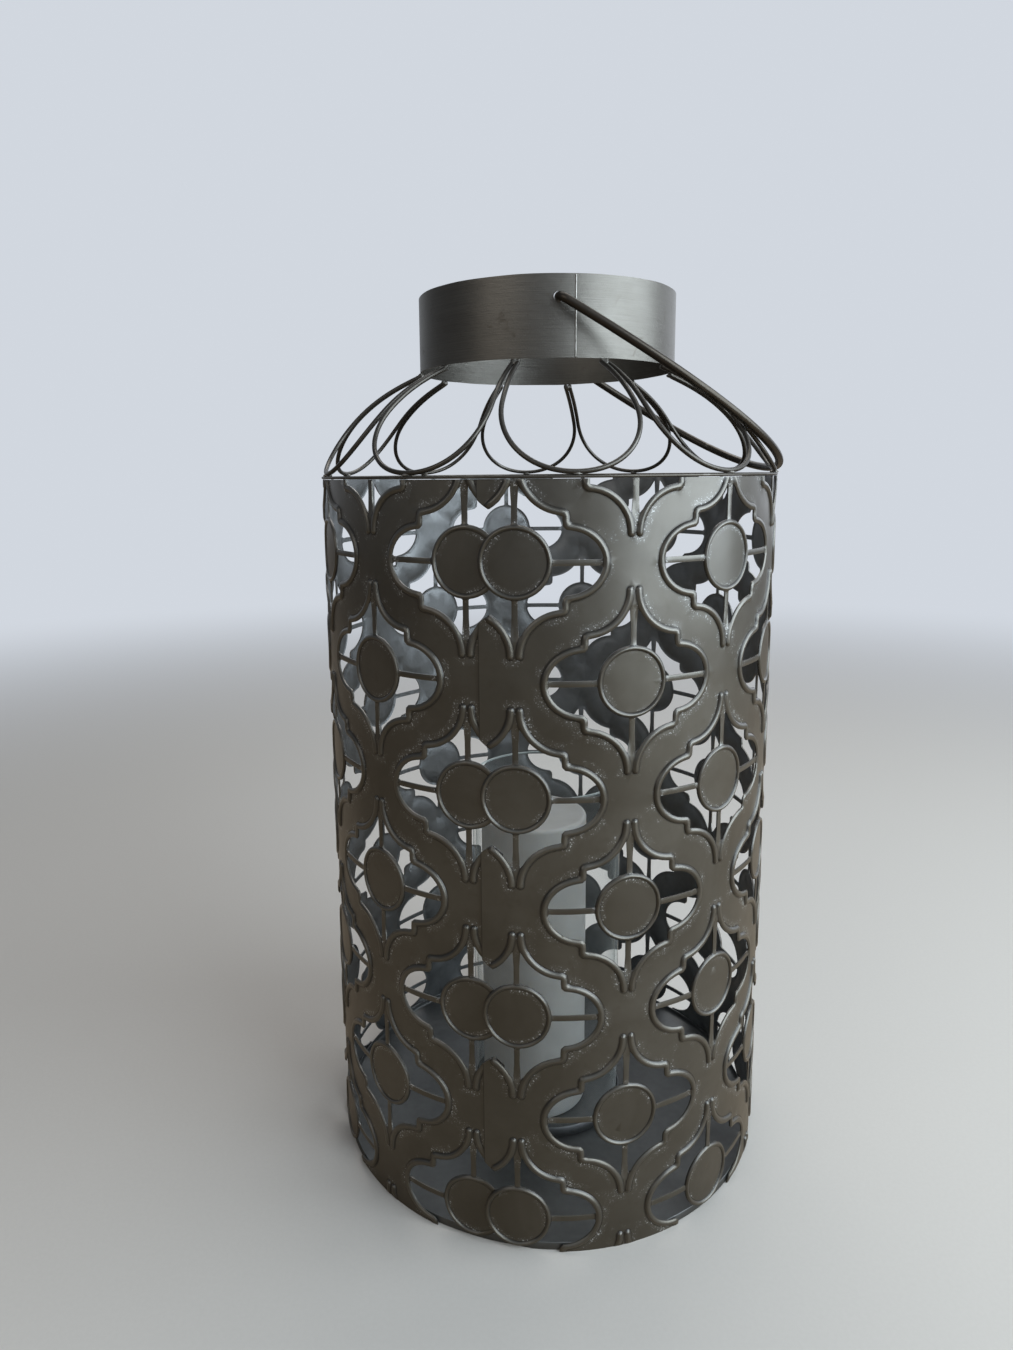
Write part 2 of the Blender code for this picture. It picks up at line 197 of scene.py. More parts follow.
def upright(disc):
    """Edge of the upright bar, from the end of the medallion's arc."""
    return xy(BAR_HALF, np.linspace(disc[-1][1] + FILLET, WEDGE[1] - SPREAD_RUN, 4))


def quarter_hole():
    """Hole in the upper right quarter, clockwise from its wedge."""
    outer = hole_edge(quarter)
    outer = outer[outer[:, 1] > BAR_HALF + FILLET]
    disc = arc(0.0, 0.0, DISC_R, DISC_R, BAR_TURN, 90.0 - BAR_TURN)
    side_bar = xy(np.linspace(outer[-1][0] - FILLET, disc[0][0] + FILLET, 9), BAR_HALF)
    return [np.array([WEDGE]), resampled(outer, STATION), side_bar, resampled(disc, STATION), upright(disc)]


def half_hole():
    """Hole on the right of an opening whose side bar is missing, clockwise from its upper wedge."""
    outer = to_crossing(hole_edge(quarter))
    leaf = mirrored(outer, sx=-1)[::-1] + (LAP_SHIFT, 0.0)
    leaf = leaf[leaf[:, 0] < LEAF_END]
    disc = arc(0.0, 0.0, DISC_R, DISC_R, -90.0 + BAR_TURN, 90.0 - BAR_TURN)
    top = [np.array([WEDGE]), resampled(outer, STATION), resampled(leaf, STATION)]
    return top + [mirrored(p, sy=-1)[::-1] for p in reversed(top)] + [
        mirrored(upright(disc), sy=-1)[::-1], resampled(disc, STATION), upright(disc)]


def joined(parts):
    """One loop of points, with those that nearly coincide left out."""
    loop = np.concatenate(parts)
    gap = np.linalg.norm(loop - np.roll(loop, 1, axis=0), axis=1)
    return loop[gap > SAME_POINT]


def foot_hole():
    """The lowest medallions stand on the sheet's edge: no bar is left below them."""
    under = arc(0.0, 0.0, DISC_R, DISC_R, -90.0 - BAR_TURN, -90.0 + BAR_TURN)
    return joined([under, xy([under[-1][0], under[0][0]], -FOOT_DEPTH)])


whole, lapped = joined(quarter_hole()), joined(half_hole())
print("points round a hole:", len(whole), "and round one beside the lap:", len(lapped))

# %% [markdown]
# ## Laying the pattern out on the flat sheet
#
# The maker pierces and presses the sheet flat and rolls it afterwards, and the mesh is made in the same
# order: fifteen columns of openings, every other one half a pitch lower, cut off by the sheet's own
# edges. The first and the last column come to lie beside each other in the lap. A constrained Delaunay
# triangulation turns the outlines and the rows of points beside the ribs into faces. It is exact along
# every cut, where a Boolean on so many holes would be slow and would leave slivers.

# %% every hole of the sheet
END_MARGIN = 0.1 * MM              # the sheet ends this far beyond the medallions beside the lap
OPENING_HALF = SHOULDER[1] + 3 * MM
sheet_start = FIRST_AZ * ARC - DISC_R - END_MARGIN
sheet_end = (FIRST_AZ + (COLUMNS - 1) * HALF_PITCH_AZ) * ARC + DISC_R + END_MARGIN
openings = []                      # their centres, and on which side (-1, 1) the side bar is missing
for column in range(COLUMNS):
    for row in range(ROWS):
        centre = ((FIRST_AZ + column * HALF_PITCH_AZ) * ARC, FIRST_Z + (row - 0.5 * (column % 2)) * PITCH_Z)
        if centre[1] - OPENING_HALF < sheet_top:
            bare = {0: -1, COLUMNS - 1: 1}.get(column, 0)
            openings.append((np.array(centre), bare))
print(len(openings), "openings, whole or cut by an edge of the sheet")


def clipped(loop, axis, limit, sign):
    """Part of a flat loop where sign * (coordinate - limit) is not negative."""
    kept = []
    for here, last in zip(loop, np.roll(loop, 1, axis=0)):
        inside, was_inside = sign * (here[axis] - limit) >= 0.0, sign * (last[axis] - limit) >= 0.0
        if inside != was_inside:
            kept.append(last + (here - last) * ((limit - last[axis]) / (here[axis] - last[axis])))
        if inside:
            kept.append(here)
    return np.array(kept)


def anticlockwise(loop):
    """The loop, turned round if its area is negative."""
    turned_on = np.roll(loop, -1, axis=0)
    area = (loop[:, 0] * turned_on[:, 1] - turned_on[:, 0] * loop[:, 1]).sum()
    return loop if area > 0.0 else loop[::-1]


sheet_sides = ((0, sheet_start, 1), (0, sheet_end, -1), (1, 0.0, 1), (1, sheet_top, -1))
holes = []
for centre, bare in openings:
    for sx in (-1, 1):
        shapes = [lapped] if sx == bare else [whole, mirrored(whole, sy=-1)]
        if DISC_R < centre[1] < FOOT_DEPTH and sx > 0:
            shapes.append(foot_hole())
        for shape in shapes:
            loop = mirrored(shape, sx=sx) + centre
            for axis, limit, sign in sheet_sides:
                loop = clipped(loop, axis, limit, sign) if len(loop) else loop
            if len(loop) > 2:
                holes.append(anticlockwise(loop))
print(len(holes), "holes with", sum(len(h) for h in holes), "points")

# %% [markdown]
# The points inside the metal come in rows beside the rib, closest where the rib curves most, with a fan
# round each blunt end, rings on the medallion's raised bead, a line down each bar and a wide net over
# the plain web. Neighbours in a row are kept as edges, so that the faces follow the rib. The inner skin
# needs far fewer rows than the outer one, because little light gets there.

# %% rows of points on the metal
BEAD_R, BEAD_HALF, BEAD_H = 21.2 * MM, 1.6 * MM, 1.2 * MM
RIB_HALF = 2.45 * MM
BAR_H = 0.35 * MM                  # the bars are hardly crowned
BAR_START = DISC_R + 2 * MM
WEB_NET = 7.5 * MM                 # distance of the net's points on the plain web


def rib_lines(bare):
    """Centre lines of the ribs round one opening, about its centre."""
    lines = []
    for sx in (-1, 1):
        if sx == bare:
            lines += [mirrored(short_line, sx, sy) for sy in (-1, 1)]
        else:
            lines.append(mirrored(side_line, sx))
    return lines


def rows_beside(bare, offsets, step):
    """Points in rows at these distances from the rib, towards the hole where the sign is plus."""
    points = []
    for sx in (-1, 1):
        lines = [short_line, mirrored(short_line, sy=-1)[::-1]] if sx == bare else [side_line]
        for line in lines:
            points += [mirrored(resampled(beside(line, offset), step), sx) for offset in offsets]
    return points


def fans(radii, spokes):
    """Half rings round the four blunt ends of the ribs."""
    points = []
    for r in radii:
        half_ring = arc(TIP_X, SHOULDER[1], r, r, 0.0, 180.0)[::max(1, int(math.pi * r / FINE / spokes))]
        points += [mirrored(half_ring, sx, sy) for sx in (-1, 1) for sy in (-1, 1)]
    return points


def rings(radii, count):
    """Rings of points on the medallion."""
    turn = np.linspace(0.0, 2.0 * math.pi, count, endpoint=False)
    return [r * xy(np.cos(turn), np.sin(turn)) for r in radii]


def bar_lines(bare, step):
    """A line of points down the middle of each bar."""
    down = np.arange(BAR_START, WEDGE[1], step)
    out = np.arange(BAR_START, LOBE_X - EDGE - 1 * MM, step)
    return [xy(0.0, sy * down) for sy in (-1, 1)] + [xy(sx * out, 0.0) for sx in (-1, 1) if sx != bare]


def grooves(step):
    """A line of points in the groove between the twin rib ends, so that it stays open."""
    up = np.arange(WEDGE[1] + 1.5 * MM, SHOULDER[1] + 1.5 * MM, step)
    return [xy(0.0, sy * up) for sy in (-1, 1)]


def web_net(step):
    """A wide net of points over the whole sheet, every other row shifted."""
    rows = np.arange(0.5 * step, sheet_top, 0.87 * step)
    across = np.arange(sheet_start + 0.5 * step, sheet_end, step)
    return [xy(across + 0.5 * step * (i % 2), z) for i, z in enumerate(rows)]


print("the rows follow", sum(len(line) for line in rib_lines(0)), "points of rib round one opening")

# %% lay the rows over the sheet


def fine_layout(bare):
    """Rows for the outer skin of one opening: on the rib's crest, flanks and foot, and just beyond."""
    across = [x * MM for x in (0.0, 1.0, -0.9, -1.75)] + [-RIB_HALF, -RIB_HALF - 0.75 * MM]
    rows = rows_beside(bare, across, STATION) + fans([-x for x in across[2:]], 6) + grooves(1.6 * MM)
    rows += rings([r * MM for r in (22.0, 21.2, 20.4, 19.6, 18.8)], 48)
    rows += rings([13 * MM], 14) + rings([5 * MM], 6)
    return rows + bar_lines(bare, 4.5 * MM)


def plain_layout(bare):
    """Rows for the inner skin of one opening: on the rib's crest and just beyond its foot."""
    beyond = 2.6 * MM
    rows = rows_beside(bare, [0.0, -beyond], 1.4 * STATION) + fans([beyond], 3) + grooves(2.4 * MM)
    return rows + rings([21.2 * MM, 19.3 * MM], 26) + rings([9 * MM], 7)


def over_the_sheet(layout):
    """One opening's rows at every opening."""
    kinds = {bare: layout(bare) for bare in (-1, 0, 1)}
    return [row + centre for centre, bare in openings for row in kinds[bare]]


outer_rows, inner_rows = over_the_sheet(fine_layout), over_the_sheet(plain_layout)
print("points laid out:", sum(map(len, outer_rows)), "outside,", sum(map(len, inner_rows)), "inside")

# %% thin the points out
MIN_GAP = 0.62 * MM                # a point inside the metal keeps this far from every other
LINK = 2.4 * STATION               # neighbours in a row are joined where they are closer than this


def tree_of(points):
    """A search tree of flat points."""
    tree = kdtree.KDTree(len(points))
    for i, (x, y) in enumerate(points):
        tree.insert((x, y, 0.0), i)
    tree.balance()
    return tree


def outline_of_sheet():
    """The sheet's own rectangle."""
    across = np.linspace(sheet_start, sheet_end, int((sheet_end - sheet_start) / STATION))
    up = np.linspace(0.0, sheet_top, 90)[1:-1]
    return np.concatenate([
        xy(across, 0.0), xy(sheet_end, up), xy(across, sheet_top)[::-1], xy(sheet_start, up)[::-1]])


def thinned(rows, loose, fixed):
    """Points that keep their distance from the fixed ones and each other, and the links along rows."""
    points = np.concatenate(rows + loose)
    row = np.repeat([*range(len(rows)), *[-1] * len(loose)], [len(part) for part in rows + loose])
    low, high = (sheet_start + MIN_GAP, MIN_GAP), (sheet_end - MIN_GAP, sheet_top - MIN_GAP)
    inside = ((points > low) & (points < high)).all(1)
    points, row = points[inside], row[inside]
    everything = np.concatenate([fixed, points])
    tree = tree_of(everything)
    kept = [True] * len(fixed) + [False] * len(points)
    for i in range(len(fixed), len(everything)):
        x, y = everything[i]
        kept[i] = not any(kept[j] for _, j, _ in tree.find_range((x, y, 0.0), MIN_GAP))
    kept = np.array(kept[len(fixed):])
    points, row = points[kept], row[kept]
    near = np.linalg.norm(points[1:] - points[:-1], axis=1) < LINK
    first = np.nonzero((row[1:] == row[:-1]) & (row[1:] >= 0) & near)[0] + len(fixed)
    return points, [(i, i + 1) for i in first.tolist()]


print("points round the sheet:", len(outline_of_sheet()))

# %% triangulate both skins
SNAP = 1e-7                        # the triangulation's own tolerance, in metres


def pierced(openings, border, free, links=()):
    """Flat points and solid triangles inside a border, round its openings; the links stay edges."""
    points, faces = [], []
    for hole in openings:
        faces.append(list(range(len(points), len(points) + len(hole))))
        points += [Vector(p) for p in hole]
    edges = [(len(points) + i, len(points) + (i + 1) % len(border)) for i in range(len(border))]
    points += [Vector(p) for p in np.concatenate([border, free])]
    flat, _, triangles, _, _, origins = delaunay_2d_cdt(points, edges + list(links), faces, 1, SNAP)
    solid = np.array([tri for tri, origin in zip(triangles, origins) if not origin])
    used, index = np.unique(solid, return_inverse=True)
    return np.array([tuple(flat[i]) for i in used]), index.reshape(-1, 3)


def sheet_skin(rows, loose):
    """One skin of the sheet, with its rows kept as edges."""
    border = outline_of_sheet()
    return pierced(holes, border, *thinned(rows, loose, np.concatenate(holes + [border])))


outer_flat, outer_faces = sheet_skin(outer_rows, web_net(WEB_NET))
inner_flat, inner_faces = sheet_skin(inner_rows, web_net(2 * WEB_NET))
print("triangles: outer skin", len(outer_faces), "inner skin", len(inner_faces))

# %% [markdown]
# ## Pressing and rolling the sheet
#
# The die raises a half-round rib and a round bead on each medallion. Height is a function of the
# distance to the nearest rib or bead, so both skins get it from one rule, and the back shows the hollow
# of each rib as pressed steel does. Then every point is rolled round the drum: its place along the sheet
# becomes an azimuth, and the under layer of the lap steps inwards with its relief squeezed flat.

# %% height of the relief
BOTTOM_FADE, BOTTOM_SHARE = 5.0 * MM, 0.25    # the relief is lower where the sheet's bottom edge was cut
RIB_FOOT, BEAD_FOOT = 0.06 * MM, 0.03 * MM    # a point this near to a foot line belongs to it
rib_tree = tree_of(np.concatenate([line + centre for centre, bare in openings for line in rib_lines(bare)]))
disc_centres = np.array([centre for centre, _ in openings])


def smooth(low, high, values):
    """0 below low, 1 above high, and a soft step between."""
    t = np.clip((values - low) / (high - low), 0.0, 1.0)
    return t * t * (3.0 - 2.0 * t)


def cord(gap, half, height, power=0.6):
    """Height of a rounded cord at a gap from its centre line."""
    return height * np.maximum(0.0, 1.0 - (gap / half) ** 2) ** power


def relief(flat):
    """Height of the outer face over the plain drum, the gap to the nearest rib or bead, and its foot."""
    rib_gap = np.array([rib_tree.find((x, y, 0.0))[2] for x, y in flat])
    to_centre = np.stack([np.linalg.norm(flat - c, axis=1) for c in disc_centres])
    nearest = to_centre.argmin(0)
    disc_gap = to_centre.min(0)
    bead_gap = abs(disc_gap - BEAD_R)
    offset = abs(flat - disc_centres[nearest])
    across, out = offset.min(1), offset.max(1)
    bar = cord(across, BAR_HALF, BAR_H, 1.0) * (out > DISC_R)
    height = np.maximum.reduce([cord(rib_gap, RIB_HALF, RIB_H), cord(bead_gap, BEAD_HALF, BEAD_H), bar])
    height *= 1.0 - smooth(*PRESSED_AZ, flat[:, 0] / ARC)
    height *= BOTTOM_SHARE + (1.0 - BOTTOM_SHARE) * smooth(0.0, BOTTOM_FADE, flat[:, 1])
    foot = (abs(rib_gap - RIB_HALF) < RIB_FOOT) | (abs(disc_gap - BEAD_R + BEAD_HALF) < BEAD_FOOT)
    return height, np.minimum(rib_gap, bead_gap * RIB_HALF / BEAD_HALF), foot


def rolled(flat, height, inward):
    """Roll flat points round the drum."""
    azimuth = flat[:, 0] / ARC
    tuck = (SHEET_T + LAP_GAP) * smooth(*TUCK_AZ, azimuth)
    radius = sheet_r + height - tuck - inward
    angle = np.radians(azimuth)
    return np.stack([radius * np.sin(angle), -radius * np.cos(angle), flat[:, 1]], 1)


outer_height, outer_gap, outer_foot = relief(outer_flat)
inner_height, inner_gap, _ = relief(inner_flat)
print("relief: up to %.2f mm outside, %.2f mm inside" % (outer_height.max() / MM, inner_height.max() / MM))

# %% join the skins along every cut


def piece(name, verts, faces, body="lantern", slot=None, replaces=()):
    """A mesh that rides a body and stands for some CAD nodes."""
    mesh = bpy.data.meshes.new(name)
    mesh.from_pydata([tuple(v) for v in verts], [], [tuple(int(i) for i in f) for f in faces])
    mesh.validate()
    mesh.polygons.foreach_set("use_smooth", [True] * len(mesh.polygons))
    made = bpy.data.objects.new(name, mesh)
    bpy.context.scene.collection.objects.link(made)
    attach(made, body)
    if replaces:
        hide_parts(*replaces)
    return made


def open_edges(faces):
    """Directed edges that only one triangle has."""
    pairs = np.concatenate([faces[:, [0, 1]], faces[:, [1, 2]], faces[:, [2, 0]]])
    known = set(map(tuple, pairs.tolist()))
    return [(a, b) for a, b in pairs.tolist() if (b, a) not in known]


def both_skins(outer_flat, outer_faces, inner_flat, inner_faces):
    """Faces of a closed sheet: outer skin, turned inner skin, and the cut edges between them."""
    shift = len(outer_flat)
    key = {tuple(p): i + shift for i, p in enumerate(np.round(inner_flat, 6).tolist())}
    cuts = []
    for a, b in open_edges(outer_faces):
        c, d = (key[tuple(np.round(outer_flat[k], 6).tolist())] for k in (b, a))
        cuts.append((b, a, d, c))
    turned = inner_faces[:, ::-1] + shift
    return [tuple(f) for f in outer_faces.tolist()], [tuple(f) for f in turned.tolist()], cuts


def sharpened(made, cuts, foot=frozenset()):
    """Keep the cut edges and the foot of each rib crisp: smooth shading stops there."""
    sharp = {tuple(sorted(pair)) for a, b, c, d in cuts for pair in ((a, b), (c, d))}
    for edge in made.data.edges:
        one, two = sorted(edge.vertices)
        edge.use_edge_sharp = (one, two) in sharp or (one in foot and two in foot)


outside, inside, cuts = both_skins(outer_flat, outer_faces, inner_flat, inner_faces)
verts = np.concatenate([rolled(outer_flat, outer_height, 0.0), rolled(inner_flat, inner_height, SHEET_T)])
wall = piece("drum_wall", verts, outside + inside + cuts, slot="pewter_sheet", replaces=["body_sheet"])
sharpened(wall, cuts, set(np.nonzero(outer_foot)[0].tolist()))
print("drum wall: %d triangles" % (len(outside) + len(inside) + 2 * len(cuts)))

# %% [markdown]
# The finish of the wall has to know where the ribs are: paint is rubbed thin on their crests, which are
# also painted lighter as a highlight, dust stays beside them, and a dark band of painted shade lies at
# each rib's foot. Each vertex therefore keeps two numbers: the gap to the nearest rib or bead, and the
# way round from the lap's outer edge, along which a thin shadow is painted. The wall also gets a flat
# map, since it was made flat: the outer skin fills the upper half, the inner skin the lower half, and
# each cut edge lies just inside its hole, where the map is empty.

# %% what the finish reads, and a flat map


def marked(made, name, values):
    """One number on each vertex, for the finish to read."""
    attribute = made.data.attributes.new(name, "FLOAT", "POINT")
    attribute.data.foreach_set("value", np.asarray(values, np.float32))


marked(wall, "edge_gap", np.concatenate([outer_gap, inner_gap]) / MM)
flat = np.concatenate([outer_flat, inner_flat])
# the way round from the lap's edge places a thin painted shadow along it
travel = flat[:, 0] - sheet_start
from_lap = np.where(travel > 180.0 * ARC, travel - 360.0 * ARC, travel)
to_disc = np.linalg.norm(flat[:, None] - disc_centres[None], axis=2).min(1)
FAR = 30.0                         # millimetres; the lap leaves no line on the medallions, so they are far
from_lap = np.clip(from_lap / MM, -FAR, FAR)
marked(wall, "from_lap", np.where(to_disc < DISC_R + 0.5 * MM, FAR, from_lap))
skin = np.zeros(len(wall.data.polygons), np.int32)
skin[len(outside):len(outside) + len(inside)] = 1
wall.data.polygons.foreach_set("material_index", skin)

MAP_EDGE = 2.0 * MM
map_size = (sheet_end - sheet_start + 2 * MAP_EDGE, 2 * sheet_top + 4 * MAP_EDGE)
place = (flat - (sheet_start - MAP_EDGE, -MAP_EDGE)) / map_size
place[:len(outer_flat), 1] += 0.5
corners = np.zeros(len(wall.data.loops), np.int32)
wall.data.loops.foreach_get("vertex_index", corners)
places = place[corners]
first = 3 * (len(outside) + len(inside))
ends = np.array(cuts)[:, :2]
step = outer_flat[ends[:, 0]] - outer_flat[ends[:, 1]]
side = xy(step[:, 1], -step[:, 0]) / np.maximum(np.linalg.norm(step, axis=1), 1e-9)[:, None] * SHEET_T
side /= map_size
one, two = place[ends[:, 0]], place[ends[:, 1]]
places[first:] = np.stack([one, two, two + side, one + side], 1).reshape(-1, 2)
wall.data.uv_layers.new(name="flat_sheet").data.foreach_set("uv", places.ravel().astype(np.float32))
print("map from", places.min(0).round(3), "to", places.max(0).round(3))

# %% [markdown]
# ## Round wire
#
# The rim, the petals and the handle are bent from round wire. Each is a ring of points carried along a
# smooth path, with the ring kept from twisting by turning it only as far as the path turns. The ends are
# domed a little, as a cropped and filed wire is.

# %% a wire along a path


def at(radius, azimuth, z):
    """Point at a radius and azimuth (degrees) about the lantern's axis."""
    a = math.radians(azimuth)
    return np.array([radius * math.sin(a), -radius * math.cos(a), z])


def bezier(p0, p1, p2, p3, steps):
    """Points of a cubic curve, without its last one."""
    t = np.arange(steps)[:, None] / steps
    s = 1.0 - t
    p0, p1, p2, p3 = (np.array(p) for p in (p0, p1, p2, p3))
    return s ** 3 * p0 + 3 * s * s * t * p1 + 3 * s * t * t * p2 + t ** 3 * p3


DOME = ((0.75, 0.36), (0.45, 0.46))    # thickness and reach of the last two rings, in wire radii


def wire(path, radius, sides, closed=False):
    """Vertices and faces of a round wire with domed ends."""
    path = np.asarray(path, float)
    ahead = np.roll(path, -1, axis=0) - np.roll(path, 1, axis=0)
    if not closed:
        ahead[0], ahead[-1] = path[1] - path[0], path[-1] - path[-2]
    ahead /= np.linalg.norm(ahead, axis=1)[:, None]
    normal = np.array(Vector(ahead[0]).orthogonal().normalized())
    turn = np.linspace(0.0, 2.0 * math.pi, sides, endpoint=False)[:, None]
    steps = [(point, direction, radius) for point, direction in zip(path, ahead)]
    if not closed:
        start, end = [[(path[k] + sign * ahead[k] * radius * out, ahead[k], radius * thick)
                       for thick, out in DOME] for k, sign in ((0, -1), (-1, 1))]
        steps = start[::-1] + steps + end
    verts = []
    for point, direction, thick in steps:
        normal = normal - direction * normal.dot(direction)
        normal /= np.linalg.norm(normal)
        verts.append(point + thick * (np.cos(turn) * normal + np.sin(turn) * np.cross(direction, normal)))
    count, faces = len(steps), []
    for i in range(count if closed else count - 1):
        here, there = i * sides, (i + 1) % count * sides
        for k in range(sides):
            after = (k + 1) % sides
            faces.append((here + k, here + after, there + after, there + k))
    if not closed:
        faces += [tuple(range(sides))[::-1], tuple(range((count - 1) * sides, count * sides))]
    return np.concatenate(verts), faces


def merged(parts):
    """Several (vertices, faces) as one."""
    verts, faces, shift = [], [], 0
    for part_verts, part_faces in parts:
        verts.append(part_verts)
        faces += [tuple(i + shift for i in f) for f in part_faces]
        shift += len(part_verts)
    return np.concatenate(verts), faces


print("rings that round off each end of a wire:", len(DOME))

# %% rim wire
RIM_WAVER = 0.12 * MM              # the rim is bent by hand, so it is a hair out of round
rim_wire_r, rim_z = 0.5 * (rim_high - rim_low), 0.5 * (rim_low + rim_high)
rim_r = body_r - rim_wire_r
rim_path = [at(rim_r + RIM_WAVER * noise.noise(Vector((0.0, 7.0, 0.05 * a))) - RIM_WAVER, a, rim_z)
            for a in np.arange(0.0, 360.0, 1.5)]
rim = piece("rim_wire", *wire(rim_path, rim_wire_r, 14, closed=True), slot="rim_wire", replaces=["top_rim"])
print("rim wire", round((rim_high - rim_low) / MM, 2), "mm thick")

# %% [markdown]
# ## The crown of petals
#
# Each petal is one length of wire bent to a loop: both ends are soldered under the collar and the round
# foot stands on the rim. The petals are bent by hand, so the back ones are turned a little and their feet
# lean round the rim. The path is the same formula as in the CAD, with more points. Two neighbours share
# one lump of solder under the collar, and smaller lumps sit where the feet meet the rim.

# %% path of a petal
PETALS, PETAL_WIRE_R, ROOT_GAP = 10, 1.6 * MM, 3.55 * MM
PETAL_AZ, PETAL_DRIFT_AZ, LEAN_AZ, LEAN_FROM_AZ = 5.6, 1.35, 1.65, -11.2
PETAL_TOP_R, PETAL_FOOT_R, PETAL_BOW, BOW_SKEW = 94.5 * MM, 167.5 * MM, 11.2 * MM, 1.07
WAIST, BELLY, WAIST_AT, BELLY_AT = 0.944, 0.945, 0.105, 0.504
ABOVE_BELLY, BELOW_BELLY, FOOT_FLAT = 0.31, 0.31, 0.555
petal_top_z = collar_low.z - 0.3 * MM - PETAL_WIRE_R
petal_foot_z = rim_high + 0.3 * MM + PETAL_WIRE_R


def root_azimuth(k):
    """Where two neighbouring petals meet under the collar."""
    nominal = PETAL_AZ + (k - 0.5) * 360.0 / PETALS
    return nominal + PETAL_DRIFT_AZ * math.sin(math.radians(nominal - PETAL_AZ) / 2.0) ** 2


def petal_path(index):
    """Centre line of one petal, root to root by way of its foot on the rim."""
    left, right = root_azimuth(index), root_azimuth(index + 1)
    middle, half = 0.5 * (left + right), 0.5 * (right - left)
    lean = LEAN_AZ * math.sin(math.radians(middle - LEAN_FROM_AZ))
    root = 1.0 - 0.5 * ROOT_GAP / (PETAL_TOP_R * math.radians(half))
    widest = (BELLY, BELLY_AT)
    side = np.concatenate([
        bezier((root, 0.0), (WAIST, WAIST_AT), (BELLY, BELLY_AT - ABOVE_BELLY), widest, 16),
        bezier(widest, (BELLY, BELLY_AT + BELOW_BELLY), (FOOT_FLAT, 1.0), (0.0, 1.0), 22)])
    slope = math.atan2(petal_top_z - petal_foot_z, PETAL_FOOT_R - PETAL_TOP_R)
    path = []
    for width, s in np.concatenate([side, [(0.0, 1.0)], side[::-1] * (-1, 1)]):
        skewed = s ** BOW_SKEW
        out = 4.0 * PETAL_BOW * skewed * (1.0 - skewed)
        radius = PETAL_TOP_R + (PETAL_FOOT_R - PETAL_TOP_R) * s + out * math.sin(slope)
        z = petal_top_z + (petal_foot_z - petal_top_z) * s + out * math.cos(slope)
        path.append(at(radius, middle + width * half + lean * s, z))
    return np.array(path)


print("a petal's wire is %.0f mm long" % (along(petal_path(0))[-1] / MM))

# %% petals with their solder
PETAL_RISE = 1.3 * MM              # both ends stand this much further up, inside the solder
ROOT_LUMPS = ((0.0, 3.0), (0.25, 2.5), (0.5, 1.9))    # place along the wire's end, and width in millimetres


def solder(centre, size, seed):
    """A small lump of solder, rounded and uneven."""
    ball = bmesh.new()
    bmesh.ops.create_icosphere(ball, subdivisions=3, radius=1.0)
    verts = np.array([v.co for v in ball.verts])
    faces = [tuple(v.index for v in f.verts) for f in ball.faces]
    ball.free()
    rough = np.array([1.0 + 0.25 * noise.noise(Vector(v) * 1.7 + Vector((seed, 0.0, 0.0))) for v in verts])
    return centre + verts * rough[:, None] * np.array(size), faces


petals = []
for n in range(PETALS):
    path = petal_path(n)
    foot, root = path[len(path) // 2], at(PETAL_TOP_R, root_azimuth(n), petal_top_z)
    lumps = [solder(root + (path[-4] - path[-1]) * part, [size * MM, size * MM, 1.6 * MM], 5.0 * n + part)
             for part, size in ROOT_LUMPS]
    lumps.append(solder(foot - np.array([0.0, 0.0, 1.2 * MM]), [3.2 * MM, 1.7 * MM, 1.1 * MM], 5.0 * n + 2))
    rise = np.array([0.0, 0.0, PETAL_RISE])
    verts, faces = wire(np.concatenate([[path[0] + rise], path, [path[-1] + rise]]), PETAL_WIRE_R, 14)
    wire_faces = len(faces)
    verts, faces = merged([(verts, faces)] + lumps)
    petal = piece("petal_wire_%02d" % (n + 1), verts, faces, slot="petal_wire",
                  replaces=["petal_%02d" % (n + 1)])
    petal["wire_faces"] = wire_faces
    petals.append(petal)
print(len(petals), "petals of", len(petals[0].data.polygons), "faces")

# %% [markdown]
# ## The handle
#
# The bail is one round rod with its two ends turned inwards through the collar's holes. It hangs down
# to the right and stops just clear of the petals. It rides the moving body, and its path is again the
# CAD's own.

# %% bail handle
PIVOT_AZ, PIVOT_Z, ROD_R = 4.9, 635.3 * MM, 2.93 * MM
HANDLE_REST, HANDLE_SPREAD = 32.4, 9.55
HANDLE_END, HANDLE_HALF, HANDLE_ARM = 88.5 * MM, 102.5 * MM, 199.2 * MM
HANDLE_CROWN, HANDLE_REACH, BEND_R = 24.1 * MM, 204.1 * MM, 7.0 * MM


def handle_path():
    """Centre line of the bail, from inside one hole round the crown to inside the other."""
    lean = math.radians(HANDLE_SPREAD)
    pull = (HANDLE_HALF + HANDLE_ARM * math.sin(lean), HANDLE_ARM * math.cos(lean))
    arm = bezier((HANDLE_HALF, BEND_R), pull, (HANDLE_CROWN, HANDLE_REACH), (0.0, HANDLE_REACH), 60)
    bend = [(HANDLE_HALF - BEND_R * (1.0 - math.sin(a)), BEND_R * (1.0 - math.cos(a)))
            for a in np.radians(np.arange(0.0, 90.0, 9.0))]
    half = np.concatenate([[(HANDLE_END, 0.0), (0.5 * (HANDLE_END + bend[0][0]), 0.0)], bend, arm])
    flat = np.concatenate([half, [(0.0, HANDLE_REACH)], half[::-1] * (-1, 1)])
    rest = math.radians(HANDLE_REST)
    axis, reach = at(1.0, PIVOT_AZ, 0.0), at(math.cos(rest), PIVOT_AZ + 90.0, -math.sin(rest))
    return np.array([(0.0, 0.0, PIVOT_Z) + x * axis + y * reach for x, y in flat])


bail = piece("bail_rod", *wire(handle_path(), ROD_R, 20), body="bail", slot="handle_rod",
             replaces=["handle"])
print("bail reaches", [round(c, 4) for c in np.array(handle_path()).max(0)])

# %% [markdown]
# ## The collar
#
# The collar is a plain band, cut from thin sheet, bent to a ring and soldered up the front a little to
# the right of the handle's hole. It is drawn flat with its two drilled holes, triangulated in the same
# way as the wall and rolled, and the ends meet under a thin raised line of solder.

